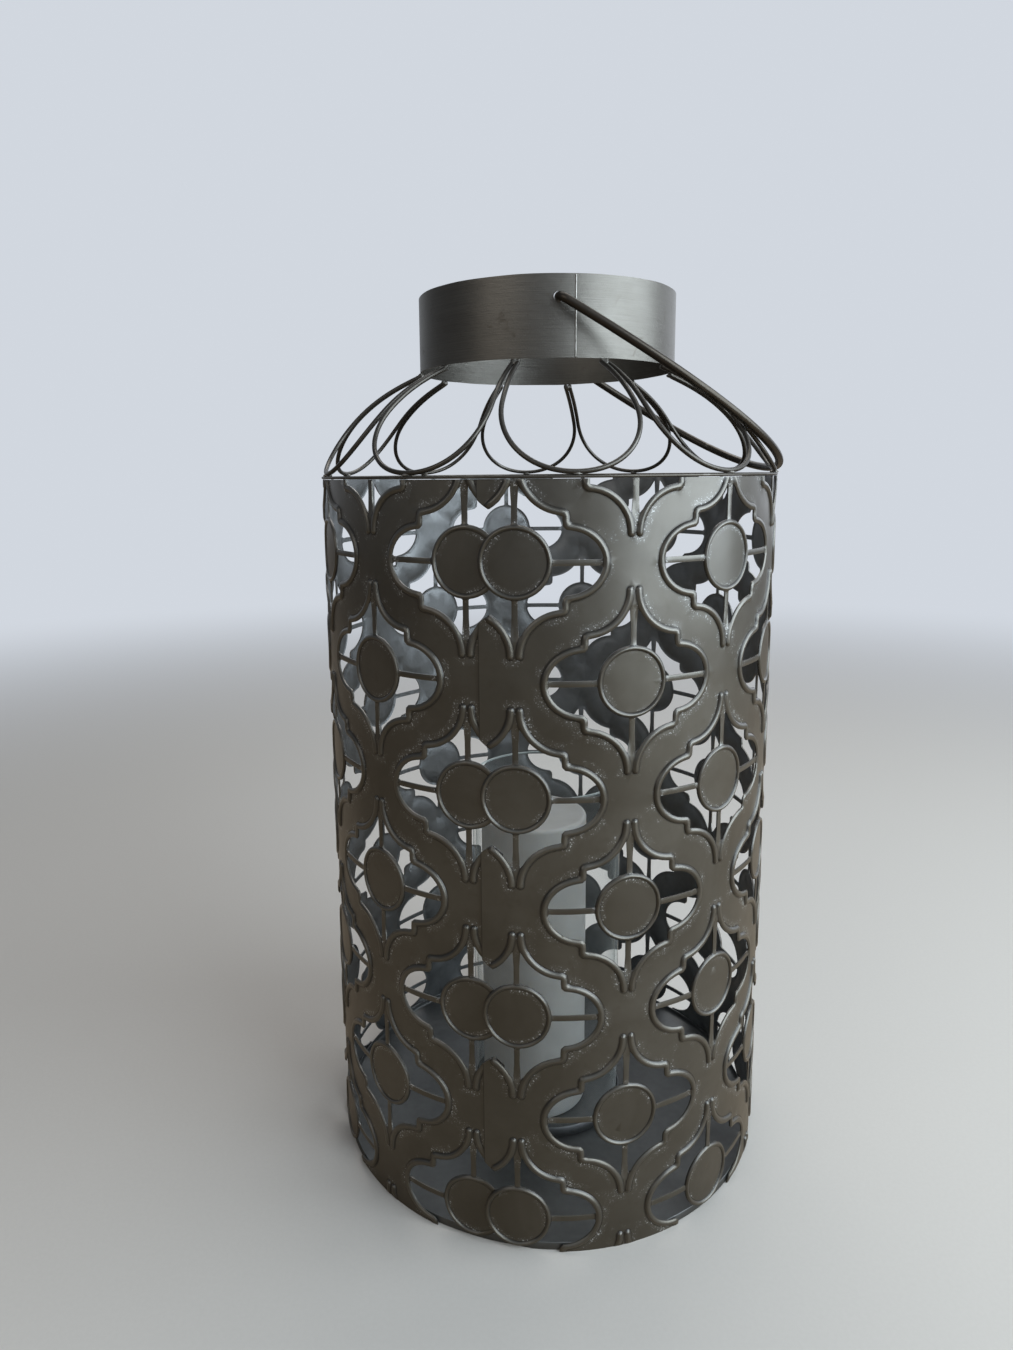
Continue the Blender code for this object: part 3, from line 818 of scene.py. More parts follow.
# %% collar band and its seam
COLLAR_T, HOLE_R, SEAM_AZ = 1.0 * MM, 3.5 * MM, 11.6
SEAM_GAP, SEAM_R, SEAM_SUNK = 0.2 * MM, 0.62 * MM, 0.42 * MM
COLLAR_WAVER = 0.25 * MM           # how far its round and its edges wander
COLLAR_ARC = math.radians(1.0) * collar_r
collar_mid = 0.5 * (collar_low.z + collar_high.z)


def collar_skin(step):
    """Flat points and triangles of the collar, whose length starts at the seam."""
    length, bottom, top = 360.0 * COLLAR_ARC - SEAM_GAP, collar_low.z, collar_high.z
    drilled = [arc(((az - SEAM_AZ) % 360.0) * COLLAR_ARC, PIVOT_Z, HOLE_R, HOLE_R, 0.0, 360.0)[:-1][::2]
               for az in (PIVOT_AZ, PIVOT_AZ + 180.0)]
    across, up = np.linspace(0.0, length, 361), np.linspace(bottom, top, 15)
    border = np.concatenate([
        xy(across, bottom), xy(length, up)[1:-1], xy(across[::-1], top), xy(0.0, up[::-1])[1:-1]])
    grid = np.stack(np.meshgrid(across[1:-1:step], up[1:-1:step]), -1).reshape(-1, 2)
    for hole in drilled:
        grid = grid[np.linalg.norm(grid - hole.mean(0), axis=1) > HOLE_R + 0.8 * MM]
    return pierced(drilled, border, grid)


def collar_rolled(flat, inward):
    """Roll the band; its edges waver by a hair, and it is a hair out of round."""
    angle = np.radians(flat[:, 0] / COLLAR_ARC + SEAM_AZ)
    turn = xy(np.sin(angle), -np.cos(angle))
    waver = np.array([noise.noise(Vector((3.0 * x, 3.0 * y, 9.0 * z)))
                      for (x, y), z in zip(turn, flat[:, 1])])
    radius = collar_r - COLLAR_WAVER + COLLAR_WAVER * waver - inward
    edge = smooth(0.4, 1.0, abs(flat[:, 1] - collar_mid) / (0.5 * (collar_high.z - collar_low.z)))
    sag = np.array([COLLAR_WAVER * (1.0 + noise.noise(Vector((4.0 * x, 4.0 * y, 1.0)))) for x, y in turn])
    z = flat[:, 1] - np.sign(flat[:, 1] - collar_mid) * sag * edge
    return np.stack([radius * turn[:, 0], radius * turn[:, 1], z], 1)


front_flat, front_faces = collar_skin(1)
back_flat, back_faces = collar_skin(2)
skin_out, skin_in, rims = both_skins(front_flat, front_faces, back_flat, back_faces)
verts = np.concatenate([collar_rolled(front_flat, 0.0), collar_rolled(back_flat, COLLAR_T)])
collar = piece("collar_band", verts, skin_out + skin_in + rims, slot="brushed_collar", replaces=["collar"])
sharpened(collar, rims)

seam_z = np.linspace(collar_low.z + 0.6 * MM, collar_high.z - 0.9 * MM, 60)
seam_path = [at(collar_r - SEAM_SUNK + 0.10 * MM * noise.noise(Vector((0.0, 0.0, 300.0 * z))),
                SEAM_AZ + 0.10 * noise.noise(Vector((5.0, 0.0, 140.0 * z))), z) for z in seam_z]
seam = piece("collar_seam", *wire(seam_path, SEAM_R, 8), slot="brushed_collar")
print("collar band:", len(collar.data.polygons), "faces; seam at", SEAM_AZ, "degrees")

# %% [markdown]
# ## What stands inside
#
# A shallow pan with a low turned-up lip closes the drum at the bottom. A low ring on it centres the
# clear glass chimney, and the pillar candle stands inside, a little to the left. All four are turned: a
# profile spun round an axis. The profiles are drawn with the small radii that the real ones have, such
# as the fire-polished lip of the glass and the melted dip round the wick, which is a short cord.

# %% spinning a profile


def spun(profile, segments, centre_x=0.0, closed=True, wobble=None):
    """Spin a (radius, z) profile; points at radius 0 close it on the axis."""
    verts, rings, faces = [], [], []
    for radius, z in profile:
        count = 1 if radius == 0.0 else segments
        rings.append(range(len(verts), len(verts) + count))
        for i in range(count):
            point = at(radius, 360.0 * i / segments, z)
            if wobble:
                point = wobble(point, radius)
            verts.append(point + (centre_x, 0.0, 0.0))
    pairs = list(zip(rings, rings[1:] + rings[:1])) if closed else list(zip(rings, rings[1:]))
    for one, two in pairs:
        for i in range(segments):
            j = (i + 1) % segments
            corners = [one[i % len(one)], one[j % len(one)], two[j % len(two)], two[i % len(two)]]
            faces.append(tuple(dict.fromkeys(corners)))
    return np.array(verts), faces


def rounded(cx, cz, radius, start, end, steps=5):
    """Rounded stretch of a profile."""
    turn = np.radians(np.linspace(start, end, steps))
    return [(cx + radius * math.cos(a), cz + radius * math.sin(a)) for a in turn]


print("a rounding is drawn with", len(rounded(0.0, 0.0, MM, 0.0, 90.0)), "points")

# %% pan and its ring
LIP_H, LIP_T = 6.0 * MM, 0.9 * MM
PAN_CORNER, LIP_ROOT = 1.0 * MM, 2.0 * MM    # radii of the pan's bottom corner and inside its lip
plate_r = sheet_r - SHEET_T - 0.3 * MM
plate_profile = [(0.0, 0.0), (0.5 * plate_r, 0.0)]
plate_profile += rounded(plate_r - PAN_CORNER, PAN_CORNER, PAN_CORNER, -90.0, 0.0)
plate_profile += rounded(plate_r - 0.5 * LIP_T, LIP_H - 0.5 * LIP_T, 0.5 * LIP_T, 0.0, 180.0)
for a in np.radians((0.0, 22.5, 45.0, 67.5, 90.0)):
    plate_profile.append((plate_r - LIP_T - LIP_ROOT * (1.0 - math.cos(a)),
                          plate_top + LIP_ROOT * (1.0 - math.sin(a))))
plate_profile += [(0.9 * plate_r, plate_top), (0.5 * plate_r, plate_top), (0.0, plate_top)]


def tucked_in(point, radius):
    """The pan's edge keeps clear of the under layer of the lap."""
    azimuth = math.degrees(math.atan2(point[0], -point[1])) % 360.0
    under = smooth(TUCK_AZ[0] - 4.0, TUCK_AZ[1] - 4.0, azimuth) * (1.0 - smooth(352.0, 358.0, azimuth))
    inwards = (SHEET_T + LAP_GAP) / plate_r * under * smooth(0.9, 0.97, radius / plate_r)
    return point * (1.0 - inwards * np.array((1.0, 1.0, 0.0)))


plate = piece("base_plate", *spun(plate_profile, 240, closed=False, wobble=tucked_in),
              slot="galvanised_pan", replaces=["base_pan"])

seat_low, seat_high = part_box("glass_seat")
seat_r, SEAT_T = seat_high.x, 1.0 * MM
seat_profile = [(seat_r, seat_low.z), (seat_r, seat_high.z - 0.4 * MM), (seat_r - 0.4 * MM, seat_high.z),
                (seat_r - 0.7 * MM, seat_high.z), (seat_r - SEAT_T, seat_high.z - 0.3 * MM),
                (seat_r - SEAT_T, seat_low.z)]
seat = piece("seat_ring", *spun(seat_profile, 120), slot="seat_ring", replaces=["glass_seat"])
print("pan %.1f mm across, its ring %.1f mm" % (2 * plate_r / MM, 2 * seat_r / MM))

# %% glass chimney
glass_low, glass_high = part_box("glass_cylinder")
glass_r, GLASS_T = glass_high.x, 2.5 * MM
lip = 0.5 * GLASS_T
upwards = np.linspace(glass_low.z + 0.03, glass_high.z - 0.03, 6)
glass_profile = [(glass_r, glass_low.z + lip)] + [(glass_r, z) for z in upwards]
glass_profile += rounded(glass_r - lip, glass_high.z - lip, lip, 0.0, 180.0, 11)
glass_profile += [(glass_r - GLASS_T, z) for z in upwards[::-1]]
glass_profile += rounded(glass_r - lip, glass_low.z + lip, lip, 180.0, 360.0, 7)[:-1]
glass = piece("glass_chimney", *spun(glass_profile, 160), body="glass", slot="clear_glass",
              replaces=["glass_cylinder"])
print("glass %.1f mm across and %.1f mm high" % (2 * glass_r / MM, (glass_high.z - glass_low.z) / MM))

# %% candle and wick
candle_low, candle_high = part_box("candle")
candle_x = 0.5 * (candle_low.x + candle_high.x)
candle_r = 0.5 * (candle_high.x - candle_low.x) - 0.15 * MM
WAX_FOOT, WAX_EDGE = 1.5 * MM, 3.0 * MM      # radii at the bottom and round the top
MELTED_DIP = ((0.86, 0.5), (0.7, 1.2), (0.5, 1.7), (0.3, 2.0), (0.12, 1.7), (0.0, 1.5))
wax_top = candle_high.z
wax_profile = [(0.0, candle_low.z), (candle_r - WAX_FOOT, candle_low.z)]
wax_profile += rounded(candle_r - WAX_FOOT, candle_low.z + WAX_FOOT, WAX_FOOT, -90.0, 0.0)[1:]
wax_profile += [(candle_r, z) for z in np.linspace(candle_low.z + 0.02, wax_top - 0.02, 12)]
wax_profile += rounded(candle_r - WAX_EDGE, wax_top - WAX_EDGE, WAX_EDGE, 0.0, 90.0, 7)
wax_profile += [(share * candle_r, wax_top - deep * MM) for share, deep in MELTED_DIP]


def cast(point, radius):
    """Wax cools a little unevenly."""
    inner = 1.0 - 0.10 * MM / candle_r * (1.0 + noise.noise(Vector(point) * 40.0))
    return np.array([point[0] * inner, point[1] * inner, point[2]])


candle = piece("pillar_wax", *spun(wax_profile, 120, candle_x, closed=False, wobble=cast),
               body="pillar_candle", slot="candle_wax", replaces=["candle"])

wick_low, wick_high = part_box("wick")
wick_r = 0.5 * (wick_high.y - wick_low.y)
WICK_INSET = 0.3 * MM              # its ends stay this far inside the CAD's wick
wick_length = wick_high.z - wick_low.z - 2 * WICK_INSET
wick_path = [(candle_x + 0.15 * MM * math.sin(9.0 * t), 0.0, wick_low.z + t * wick_length + WICK_INSET)
             for t in np.linspace(0.0, 1.0, 24)]
wick = piece("wick_cord", *wire(wick_path, wick_r - 0.2 * MM, 12), body="pillar_candle",
             slot="wick_cotton", replaces=["wick"])
print("candle %.1f mm across, wick %.1f mm" % (2 * candle_r / MM, (wick_high.z - wick_low.z) / MM))

# %% [markdown]
# ## Finishes
#
# A finish is a small sum of patterns: a mottled colour, rubbed where the hand and the cloth reach, with
# a roughness that follows. To keep such sums readable, a socket is wrapped in a class that knows plus,
# minus, times and divide, and every other node comes from one call. All patterns are read in the
# piece's own coordinates, in metres, so they stay on the metal when the handle swings.

# %% a socket that adds and multiplies


class Reading:
    """The value of one socket, read anywhere on the surface."""

    def __init__(self, finish, socket):
        self.finish, self.socket = finish, socket

    def sum(self, operation, *values):
        """One Math node on these values."""
        return self.finish.node("Math", {"operation": operation}, dict(enumerate(values)))

    def __add__(self, other):
        return self.sum("ADD", self, other)

    def __sub__(self, other):
        return self.sum("SUBTRACT", self, other)

    def __rsub__(self, other):
        return self.sum("SUBTRACT", other, self)

    def __mul__(self, other):
        return self.sum("MULTIPLY", self, other)

    def __truediv__(self, other):
        return self.sum("DIVIDE", self, other)

    def __pow__(self, other):
        return self.sum("POWER", self, other)

    __radd__, __rmul__ = __add__, __mul__

    def between(self, low, high):
        """0 below low, 1 above high, with a soft step."""
        ramp = {"Value": self, "From Min": low, "From Max": high}
        return self.finish.node("MapRange", {"interpolation_type": "SMOOTHSTEP"}, ramp)


print("sums that a reading knows: + - * / **")

# %% a material written in sums


class Finish:
    """A material whose node tree is written out in sums."""

    def __init__(self, name, **plain):
        self.material = bpy.data.materials.new(name)
        self.material.use_nodes = True
        self.tree = self.material.node_tree
        self.shader = self.tree.nodes["Principled BSDF"]
        self.output = self.tree.nodes["Material Output"]
        for socket, value in plain.items():
            self.shader.inputs[socket.replace("_", " ")].default_value = value
        self.place = self.node("TexCoord", out="Object")

    def node(self, kind, settings=None, values=None, out=0):
        """Any node: its type, its settings, its sockets' values or links, and the output to read."""
        made = self.tree.nodes.new("ShaderNode" + kind)
        for key, value in (settings or {}).items():
            setattr(made, key, value)
        for key, value in (values or {}).items():
            if isinstance(value, Reading):
                self.tree.links.new(value.socket, made.inputs[key])
            else:
                made.inputs[key].default_value = value
        return Reading(self, made.outputs[out])

    def stretched(self, scale):
        """The place on the piece, stretched by a scale on each axis."""
        return self.node("Mapping", values={"Vector": self.place, "Scale": scale})

    def cloud(self, size, detail=3.0, where=None, rough=0.55, warp=0.0):
        """Soft noise of a size in millimetres, around a half."""
        values = {"Vector": where or self.place, "Scale": 1.0 / (size * MM), "Detail": detail,
                  "Roughness": rough, "Distortion": warp}
        return self.node("TexNoise", values=values)

    def mark(self, name):
        """A number kept on the vertices."""
        return self.node("Attribute", {"attribute_name": name}, out="Fac")

    def blend(self, share, one, two):
        """From one colour to another."""
        return self.node("Mix", {"data_type": "RGBA"}, {0: share, 6: one, 7: two}, 2)

    def colours(self, value, *stops):
        """A ramp of (position, colour) stops."""
        ramp = self.node("ValToRGB", values={0: value}, out="Color")
        elements = ramp.socket.node.color_ramp.elements
        elements[0].position, elements[0].color = stops[0]
        elements[1].position, elements[1].color = stops[-1]
        for position, colour in stops[1:-1]:
            elements.new(position).color = colour
        return ramp

    def raised(self, height, depth, below=None):
        """Bump of a height pattern, its depth in millimetres."""
        values = {"Height": height, "Distance": depth * MM, "Strength": 1.0}
        if below:
            values["Normal"] = below
        return self.node("Bump", values=values, out="Normal")

    def surface(self, **links):
        """Lead readings to the shader."""
        for socket, reading in links.items():
            self.tree.links.new(reading.socket, self.shader.inputs[socket.replace("_", " ")])
        return self

    def own(self):
        """The finish's own shader, to be mixed with another."""
        return Reading(self, self.shader.outputs[0])

    def show_mix(self, share, one, two):
        """Show a mix of two shaders instead of the finish's own."""
        both = self.node("MixShader", values={0: share, 1: one, 2: two})
        self.tree.links.new(both.socket, self.output.inputs["Surface"])
        return self

    def on(self, *pieces):
        """Put the finish on these pieces."""
        for made in pieces:
            made.data.materials.append(self.material)
        return self


def rgb(red, green, blue):
    """An opaque colour."""
    return (red, green, blue, 1.0)


print("an opaque grey:", rgb(0.5, 0.5, 0.5))


# %% [markdown]
# ### Pewter outside, bare zinc inside
#
# The outside is sprayed a dark olive pewter over steel: a half metallic coat that is mottled by age,
# rubbed bright on the rib crests, where the lighter colour also stands for a painted highlight, dusty
# and spattered with pale specks of plating residue beside the ribs. A dark band of painted shade runs
# along each rib's foot, and a thin painted shadow along the lap's edge. A clear coat over the paint
# gives the even sheen of lacquer at any angle. Bumps stand for what is too fine for the mesh: faint
# dents from the pressing, the full round of each rib, and the sprayed skin.
# The inside is bare zinc, and the cut edges are painted pewter like the outside.

# %% pewter and zinc
pewter = Finish("pewter", Coat_Weight=1.0, Coat_Roughness=0.27, Coat_IOR=1.55)
gap = pewter.mark("edge_gap")
crest = 1.0 - gap.between(0.0, 1.1)
groove = gap.between(1.7, 2.3) * (1.0 - gap.between(2.5, 3.6))
mottle = pewter.cloud(70.0, 4.0, warp=0.4)
grime = pewter.cloud(9.0, 4.0)
beside_rib = gap.between(2.2, 3.0) * (1.0 - gap.between(4.0, 8.5))
patchy = pewter.cloud(17.0, 3.0).between(0.46, 0.60)
residue = pewter.cloud(1.1, 2.0).between(0.60, 0.66) * beside_rib * patchy
base = pewter.colours(mottle, (0.32, rgb(0.084, 0.076, 0.060)), (0.68, rgb(0.132, 0.124, 0.105)))
base = pewter.blend(grime.between(0.50, 0.80) * 0.35, base, rgb(0.085, 0.073, 0.055))
base = pewter.blend(beside_rib * patchy * 0.20, base, rgb(0.24, 0.25, 0.25))
# painted shade: a dark band along each rib's foot, where the crease lies in shade
base = pewter.blend(groove * 0.75, base, rgb(0.030, 0.025, 0.019))
# rubbed paint on the rib crests; the lighter colour is also a painted highlight
base = pewter.blend(crest * 0.25, base, rgb(0.225, 0.218, 0.195))
lap = pewter.mark("from_lap")
# painted shadow: a dark line along the lap's edge, where the top layer lifts off the one below
lap_shadow = lap.between(-1.2, -0.2) * (1.0 - lap.between(0.2, 0.6))
base = pewter.blend(lap_shadow * 0.6, base, rgb(0.020, 0.017, 0.013))
base = pewter.blend(residue, base, rgb(0.60, 0.61, 0.61))
gloss = 0.30 + mottle * 0.08 + grime * 0.08 + groove * 0.15 + residue * 0.2 - crest * 0.08
across = gap / (RIB_HALF / MM)
rib_round = across.sum("MAXIMUM", 1.0 - across * across, 0.0) ** 0.7
dents = pewter.raised(pewter.cloud(38.0, 1.5), 0.95)
rib_bump = pewter.raised(rib_round, 0.9, dents)
skin_bumps = pewter.raised(pewter.cloud(1.3, 3.0) * 0.5 + grime * 0.5, 0.06, rib_bump)
pewter.surface(Base_Color=base, Roughness=gloss, Metallic=0.78 - residue * 0.6, Normal=skin_bumps)


def zinc(name, dark, pale):
    """Bare zinc: a smooth dull blue-grey with a soft bloom and a few brown stains."""
    made = Finish(name, Metallic=0.85)
    bloom = made.cloud(55.0, 4.0, warp=0.5)
    fine = made.cloud(5.0, 4.0)
    stain = made.cloud(19.0, 4.0).between(0.60, 0.80)
    colour = made.colours(bloom * 0.7 + fine * 0.3, (0.30, dark), (0.70, pale))
    colour = made.blend(stain * 0.3, colour, rgb(0.10, 0.09, 0.075))
    return made.surface(Base_Color=colour, Roughness=0.38 + bloom * 0.12 + fine * 0.06,
                        Normal=made.raised(fine, 0.08))


pewter.on(wall)
zinc("zinc_inside", rgb(0.21, 0.217, 0.22), rgb(0.30, 0.31, 0.317)).on(wall)
# the pan's zinc is darker than the wall's inside: painted shade for the floor of the drum
zinc("zinc_plate", rgb(0.105, 0.108, 0.106), rgb(0.17, 0.175, 0.175)).on(plate)
zinc("zinc_ring", rgb(0.16, 0.165, 0.17), rgb(0.30, 0.31, 0.32)).on(seat)
print("wall has", len(wall.data.materials), "finishes")

# %% [markdown]
# ### Wires
#
# The rim, the petals and the handle are steel wire under a brown lacquer that is rubbed through in
# patches. The rim is rubbed most and is the dullest, the handle is the darkest and smoothest. The
# solder at the petals' ends is dull silver, rough where it cooled.

# %% wire finishes
def lacquered(name, dark, pale, worn, roughness):
    """Brown lacquer on wire, rubbed through in patches: the more worn, the larger."""
    made = Finish(name, Metallic=0.9)
    patches = made.cloud(22.0, 4.0, warp=0.6)
    fine = made.cloud(7.0, 3.0)
    bare = patches.between(0.62 - worn, 0.82 - worn) * (0.55 + fine * 0.6)
    tone = made.blend(made.cloud(30.0), dark, rgb(*[1.5 * c for c in dark[:3]]))
    colour = made.blend(bare, tone, pale)
    return made.surface(Base_Color=colour, Roughness=roughness + fine * 0.08 - bare * 0.04,
                        Normal=made.raised(fine, 0.012))


def tinned(name, metallic, size, dark, pale, roughness, rougher, depth):
    """Solder: uneven where it flowed, over a size in millimetres, and rougher where it stands up."""
    made = Finish(name, Metallic=metallic)
    flow = made.cloud(size, 4.0)
    return made.surface(Base_Color=made.colours(flow, (0.3, dark), (0.7, pale)),
                        Roughness=roughness + flow * rougher, Normal=made.raised(flow, depth))


lacquered("rim_steel", rgb(0.085, 0.078, 0.067), rgb(0.22, 0.21, 0.195), 0.08, 0.36).on(rim)
lacquered("petal_steel", rgb(0.075, 0.070, 0.062), rgb(0.17, 0.165, 0.155), 0.04, 0.30).on(*petals)
lacquered("bail_steel", rgb(0.055, 0.048, 0.040), rgb(0.22, 0.21, 0.19), 0.04, 0.27).on(bail)
tinned("solder_tin", 0.85, 2.4, rgb(0.10, 0.09, 0.075), rgb(0.34, 0.33, 0.31), 0.36, 0.25, 0.3).on(*petals)
for petal in petals:
    for face in list(petal.data.polygons)[petal["wire_faces"]:]:
        face.material_index = 1
print("finishes on a petal:", [m.name for m in petals[0].data.materials])

# %% [markdown]
# ### Brushed collar
#
# The collar was rubbed round and round with a coarse cloth before its lacquer, so its scratches all run
# along the band. Noise that is squeezed hard in height and left long round the band gives them. Tarnish,
# a few brown burns from the soldering and the bright seam finish it.

# %% collar finish
brushed = Finish("brushed_collar", Metallic=0.95)
long_streaks = brushed.cloud(1.0, 3.0, brushed.stretched((0.022, 0.022, 1.6)), rough=0.65)
fine_streaks = brushed.cloud(1.0, 2.0, brushed.stretched((0.07, 0.07, 5.5)), rough=0.6)
streaks = long_streaks * 0.6 + fine_streaks * 0.4
tarnish = brushed.cloud(42.0, 4.0, warp=0.7)
burn = brushed.cloud(13.0, 3.0, warp=1.0).between(0.62, 0.80)
metal = brushed.colours(streaks * 0.65 + tarnish * 0.35, (0.34, rgb(0.138, 0.131, 0.117)),
                        (0.50, rgb(0.166, 0.159, 0.144)), (0.66, rgb(0.196, 0.189, 0.173)))
metal = brushed.blend(burn * 0.40, metal, rgb(0.085, 0.066, 0.047))
brushed.surface(Base_Color=metal, Roughness=0.26 + streaks * 0.22 + burn * 0.1,
                Normal=brushed.raised(streaks, 0.16)).on(collar)
tinned("seam_tin", 0.95, 3.0, rgb(0.20, 0.19, 0.17), rgb(0.44, 0.43, 0.41), 0.28, 0.2, 0.2).on(seam)
print("collar:", len(brushed.tree.nodes), "nodes")

# %% [markdown]
# ### Glass, wax and wick
#
# Thin glass is nearly all see-through: light goes straight on, and only a share that grows towards
# grazing angles is reflected. So a clear shader and a glossy one are mixed by Fresnel, and the edge
# takes a faint green. The lip was melted round, and a pale, partly opaque finish of its own is a
# painted highlight for the light that the round lip gathers. Wax lets light in a little way, so it
# glows softly round its edges. The wick is twisted cotton, charred at its top.

# %% glass, wax and wick finishes
clear = Finish("clear_glass", Base_Color=rgb(0.92, 0.97, 0.95), Roughness=0.03, IOR=1.5)
facing = clear.node("LayerWeight", values={"Blend": 0.35}, out="Facing")
smears = clear.cloud(25.0, 4.0, clear.stretched((1.0, 1.0, 0.35)), warp=0.5)
tint = clear.blend(facing ** 4.0, rgb(0.985, 0.99, 0.99), rgb(0.80, 0.86, 0.85))
through = clear.node("BsdfTransparent", values={"Color": tint})
outer_side = 1.0 - clear.node("NewGeometry", out="Backfacing")
mirror = outer_side * (clear.node("Fresnel", values={"IOR": 1.45}) + smears.between(0.55, 0.85) * 0.012)
clear.surface(Roughness=0.03 + smears * 0.05)
clear.show_mix(mirror, through, clear.own()).on(glass)

# painted highlight: the lip's pale, partly opaque finish stands for the light the round lip gathers
lip_highlight = Finish("glass_lip", Base_Color=rgb(0.80, 0.90, 0.88), Roughness=0.12, IOR=1.5)
lip_through = lip_highlight.node("BsdfTransparent", values={"Color": rgb(0.86, 0.92, 0.91)})
lip_facing = lip_highlight.node("LayerWeight", values={"Blend": 0.55}, out="Facing")
lip_highlight.show_mix(0.25 + lip_facing * 0.6, lip_through, lip_highlight.own()).on(glass)
lip_foot = glass_high.z - 1.2 * lip
for face in glass.data.polygons:
    face.material_index = int(face.center.z > lip_foot)

wax = Finish("candle_wax", Subsurface_Weight=0.30, Subsurface_Scale=0.010,
             Subsurface_Radius=(1.0, 0.80, 0.62), Specular_IOR_Level=0.45, IOR=1.44)
cooled = wax.cloud(30.0, 3.0, warp=0.4)
dust = wax.cloud(2.2, 3.0)
wax_colour = wax.colours(cooled, (0.3, rgb(0.60, 0.59, 0.56)), (0.7, rgb(0.70, 0.69, 0.66)))
wax_colour = wax.blend(dust.between(0.62, 0.8) * 0.25, wax_colour, rgb(0.50, 0.49, 0.46))
wax.surface(Base_Color=wax_colour, Roughness=0.38 + cooled * 0.25,
            Normal=wax.raised(cooled * 2.0 + dust * 0.3, 0.35)).on(candle)

cotton = Finish("wick_cotton", Roughness=0.95)
strands = cotton.node("TexWave", {"bands_direction": "DIAGONAL"},
                      {"Vector": cotton.place, "Scale": 700.0, "Distortion": 0.6}, "Fac")
height = cotton.node("SeparateXYZ", values={0: cotton.place}, out="Z")
char = height.between(wick_high.z - 9.0 * MM, wick_high.z - 4.0 * MM)
cotton_colour = cotton.blend(char, rgb(0.62, 0.57, 0.46), rgb(0.025, 0.020, 0.018))
cotton.surface(Base_Color=cotton.blend(strands * 0.4, cotton_colour, rgb(0.12, 0.10, 0.08)),
               Normal=cotton.raised(strands, 0.25)).on(wick)
print("glass, wax and cotton done")

# %% [markdown]
# ## Floor, light and camera
#
# The lantern stands on a plain pale floor that fades into a pale backdrop. A large soft lamp at the
# right, like a window, gives the metal its bright band, and a weak cool sky fills the rest, darker on
# the left. The camera looks down on it a little from just in front.

# %% floor and sky
BACKDROP = rgb(0.64, 0.68, 0.74)
FLOOR_HALF = 8.0
floor_mesh = bpy.data.meshes.new("floor")
floor_corners = [(sx * FLOOR_HALF, sy * FLOOR_HALF, 0.0)
                 for sx, sy in ((-1, -1), (1, -1), (1, 1), (-1, 1))]
floor_mesh.from_pydata(floor_corners, [], [(0, 1, 2, 3)])
floor = bpy.data.objects.new("floor", floor_mesh)
bpy.context.scene.collection.objects.link(floor)

paper = Finish("floor_paper", Roughness=0.6, Specular_IOR_Level=0.3)
far = paper.node("VectorMath", {"operation": "LENGTH"}, {0: paper.place}, "Value").between(0.9, 3.2)
fibre = paper.cloud(3.0, 3.0)
seen = paper.node("LightPath", out="Is Camera Ray")
pale = paper.blend(fibre.between(0.3, 0.7) * 0.3, rgb(0.66, 0.63, 0.59), rgb(0.62, 0.59, 0.55))
paper.surface(Base_Color=paper.blend(seen, rgb(0.30, 0.235, 0.165), pale))
glow = paper.node("Emission", values={"Color": BACKDROP, "Strength": 1.0})
paper.show_mix(far * seen, paper.own(), glow).on(floor)

world = bpy.data.worlds.new("studio")
bpy.context.scene.world = world
world.use_nodes = True
sky = Finish.__new__(Finish)       # only its sums are needed: a sky has no material of its own
sky.tree = world.node_tree
sky.tree.nodes.clear()
heading = sky.node("TexCoord", out="Generated")
rightward = sky.node("SeparateXYZ", values={0: heading}, out="X").between(-0.9, 0.9)
behind = sky.node("SeparateXYZ", values={0: heading}, out="Y").between(0.15, 0.95)
SKY_LEFT, SKY_RIGHT, SKY_DIFFUSE = 0.19, 0.80, 0.30
SKY_BACK, SKY_BACK_RIGHT = 0.22, 0.8         # added behind the lantern, and more of it at the right
seen, mirrored_ray, passed = (sky.node("LightPath", out=name)
                              for name in ("Is Camera Ray", "Is Glossy Ray", "Is Transmission Ray"))
straight = seen + passed
graded = (SKY_LEFT + rightward * (SKY_RIGHT - SKY_LEFT)
          + behind * (rightward * SKY_BACK_RIGHT + SKY_BACK))
strength = straight.sum("MINIMUM", straight, 1.0)
rest = 1.0 - strength
strength = strength + rest * (mirrored_ray * graded + (1.0 - mirrored_ray) * SKY_DIFFUSE)
background = sky.node("Background", values={"Color": BACKDROP, "Strength": strength})
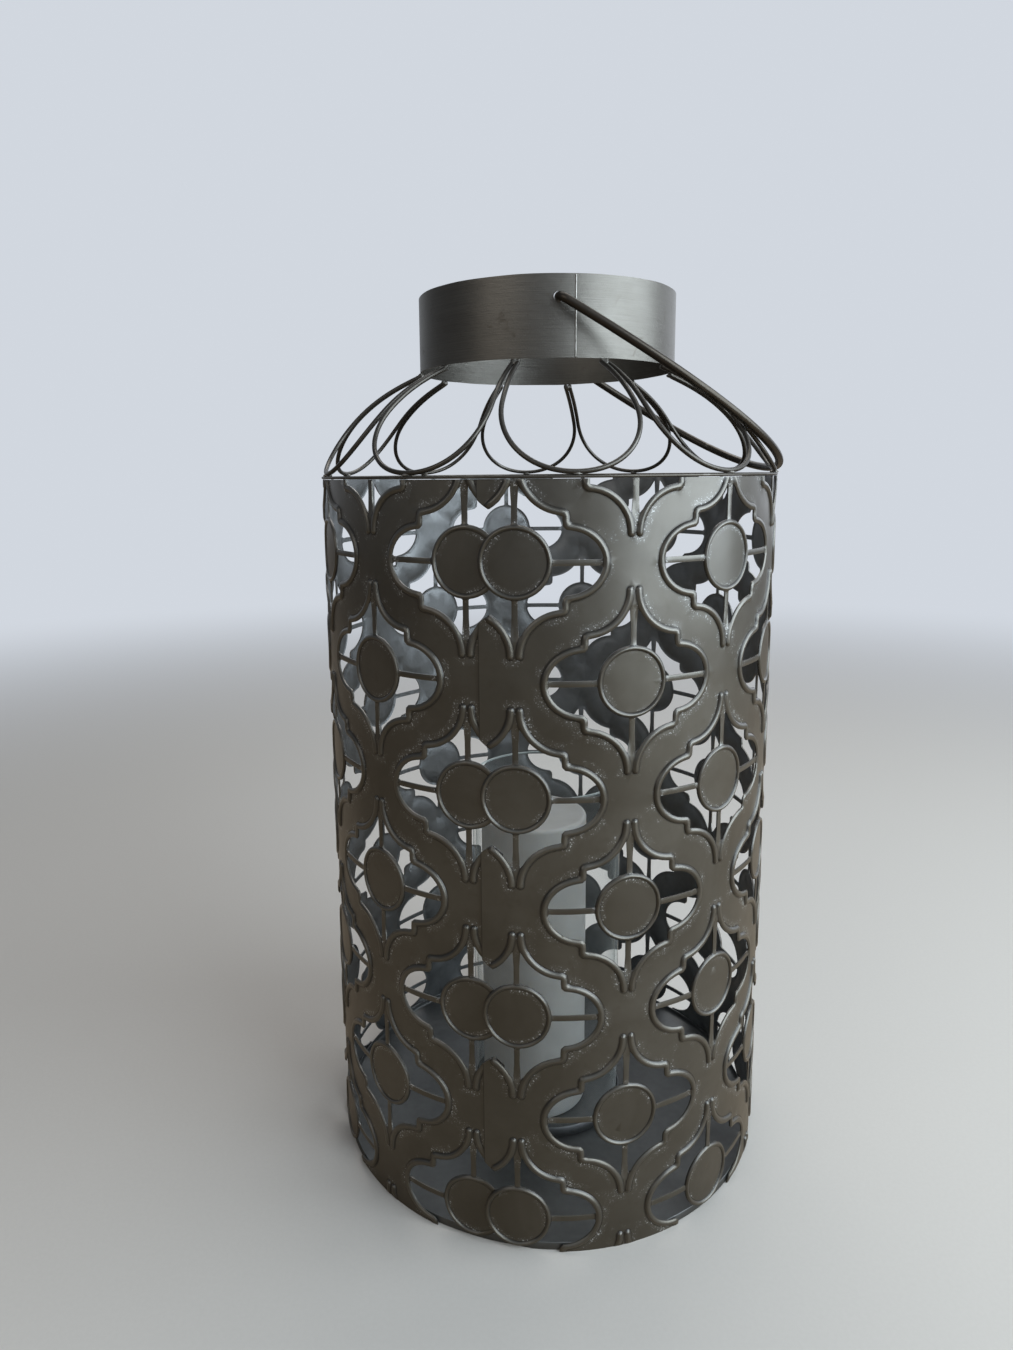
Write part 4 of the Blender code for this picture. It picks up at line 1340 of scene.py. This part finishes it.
end = sky.tree.nodes.new("ShaderNodeOutputWorld")
sky.tree.links.new(background.socket, end.inputs["Surface"])
print("floor reaches", FLOOR_HALF, "m each way")

# %% soft lamps


def soft_lamp(name, azimuth, distance, height, wide, tall, watts, colour, aim=0.30):
    """A rectangular lamp that faces the lantern's middle."""
    data = bpy.data.lights.new(name, "AREA")
    data.shape, data.size, data.size_y = "RECTANGLE", wide, tall
    data.energy, data.color = watts, colour
    lamp = bpy.data.objects.new(name, data)
    lamp.location = Vector(at(distance, azimuth, height))
    lamp.rotation_euler = (Vector((0.0, 0.0, aim)) - lamp.location).to_track_quat("-Z", "Y").to_euler()
    bpy.context.scene.collection.objects.link(lamp)
    return lamp


soft_lamp("window", 65.0, 1.7, 1.06, 2.3, 1.8, 51.0, (0.81, 0.92, 1.0))
soft_lamp("fill", -40.0, 2.6, 1.6, 1.6, 1.6, 7.0, (1.0, 0.92, 0.82))
soft_lamp("overhead", 170.0, 1.0, 2.2, 1.4, 1.4, 14.0, (1.0, 0.98, 0.95))

# %% camera
YAW, PITCH, ROLL = math.radians(-3.533), math.radians(9.646), math.radians(-0.550)
ahead = Vector((math.sin(YAW) * math.cos(PITCH), math.cos(YAW) * math.cos(PITCH), -math.sin(PITCH)))
level = Vector((math.cos(YAW), -math.sin(YAW), 0.0))
upward = level.cross(ahead)
right = math.cos(ROLL) * level + math.sin(ROLL) * upward
top = -math.sin(ROLL) * level + math.cos(ROLL) * upward
lens = bpy.data.cameras.new("camera")
lens.lens, lens.sensor_width, lens.sensor_fit = 24.179, 36.0, "AUTO"
lens.shift_x, lens.shift_y = 0.01150, -0.03576
lens.clip_start = 0.01
camera = bpy.data.objects.new("camera", lens)
EYE = (0.0, -0.70732, 0.52380)
turned = Matrix((right, top, -ahead)).transposed().to_4x4()
camera.matrix_world = Matrix.Translation(EYE) @ turned
bpy.context.scene.collection.objects.link(camera)
bpy.context.scene.camera = camera
bpy.context.scene.view_settings.view_transform = "Standard"
print("camera looks", tuple(round(c, 3) for c in ahead))
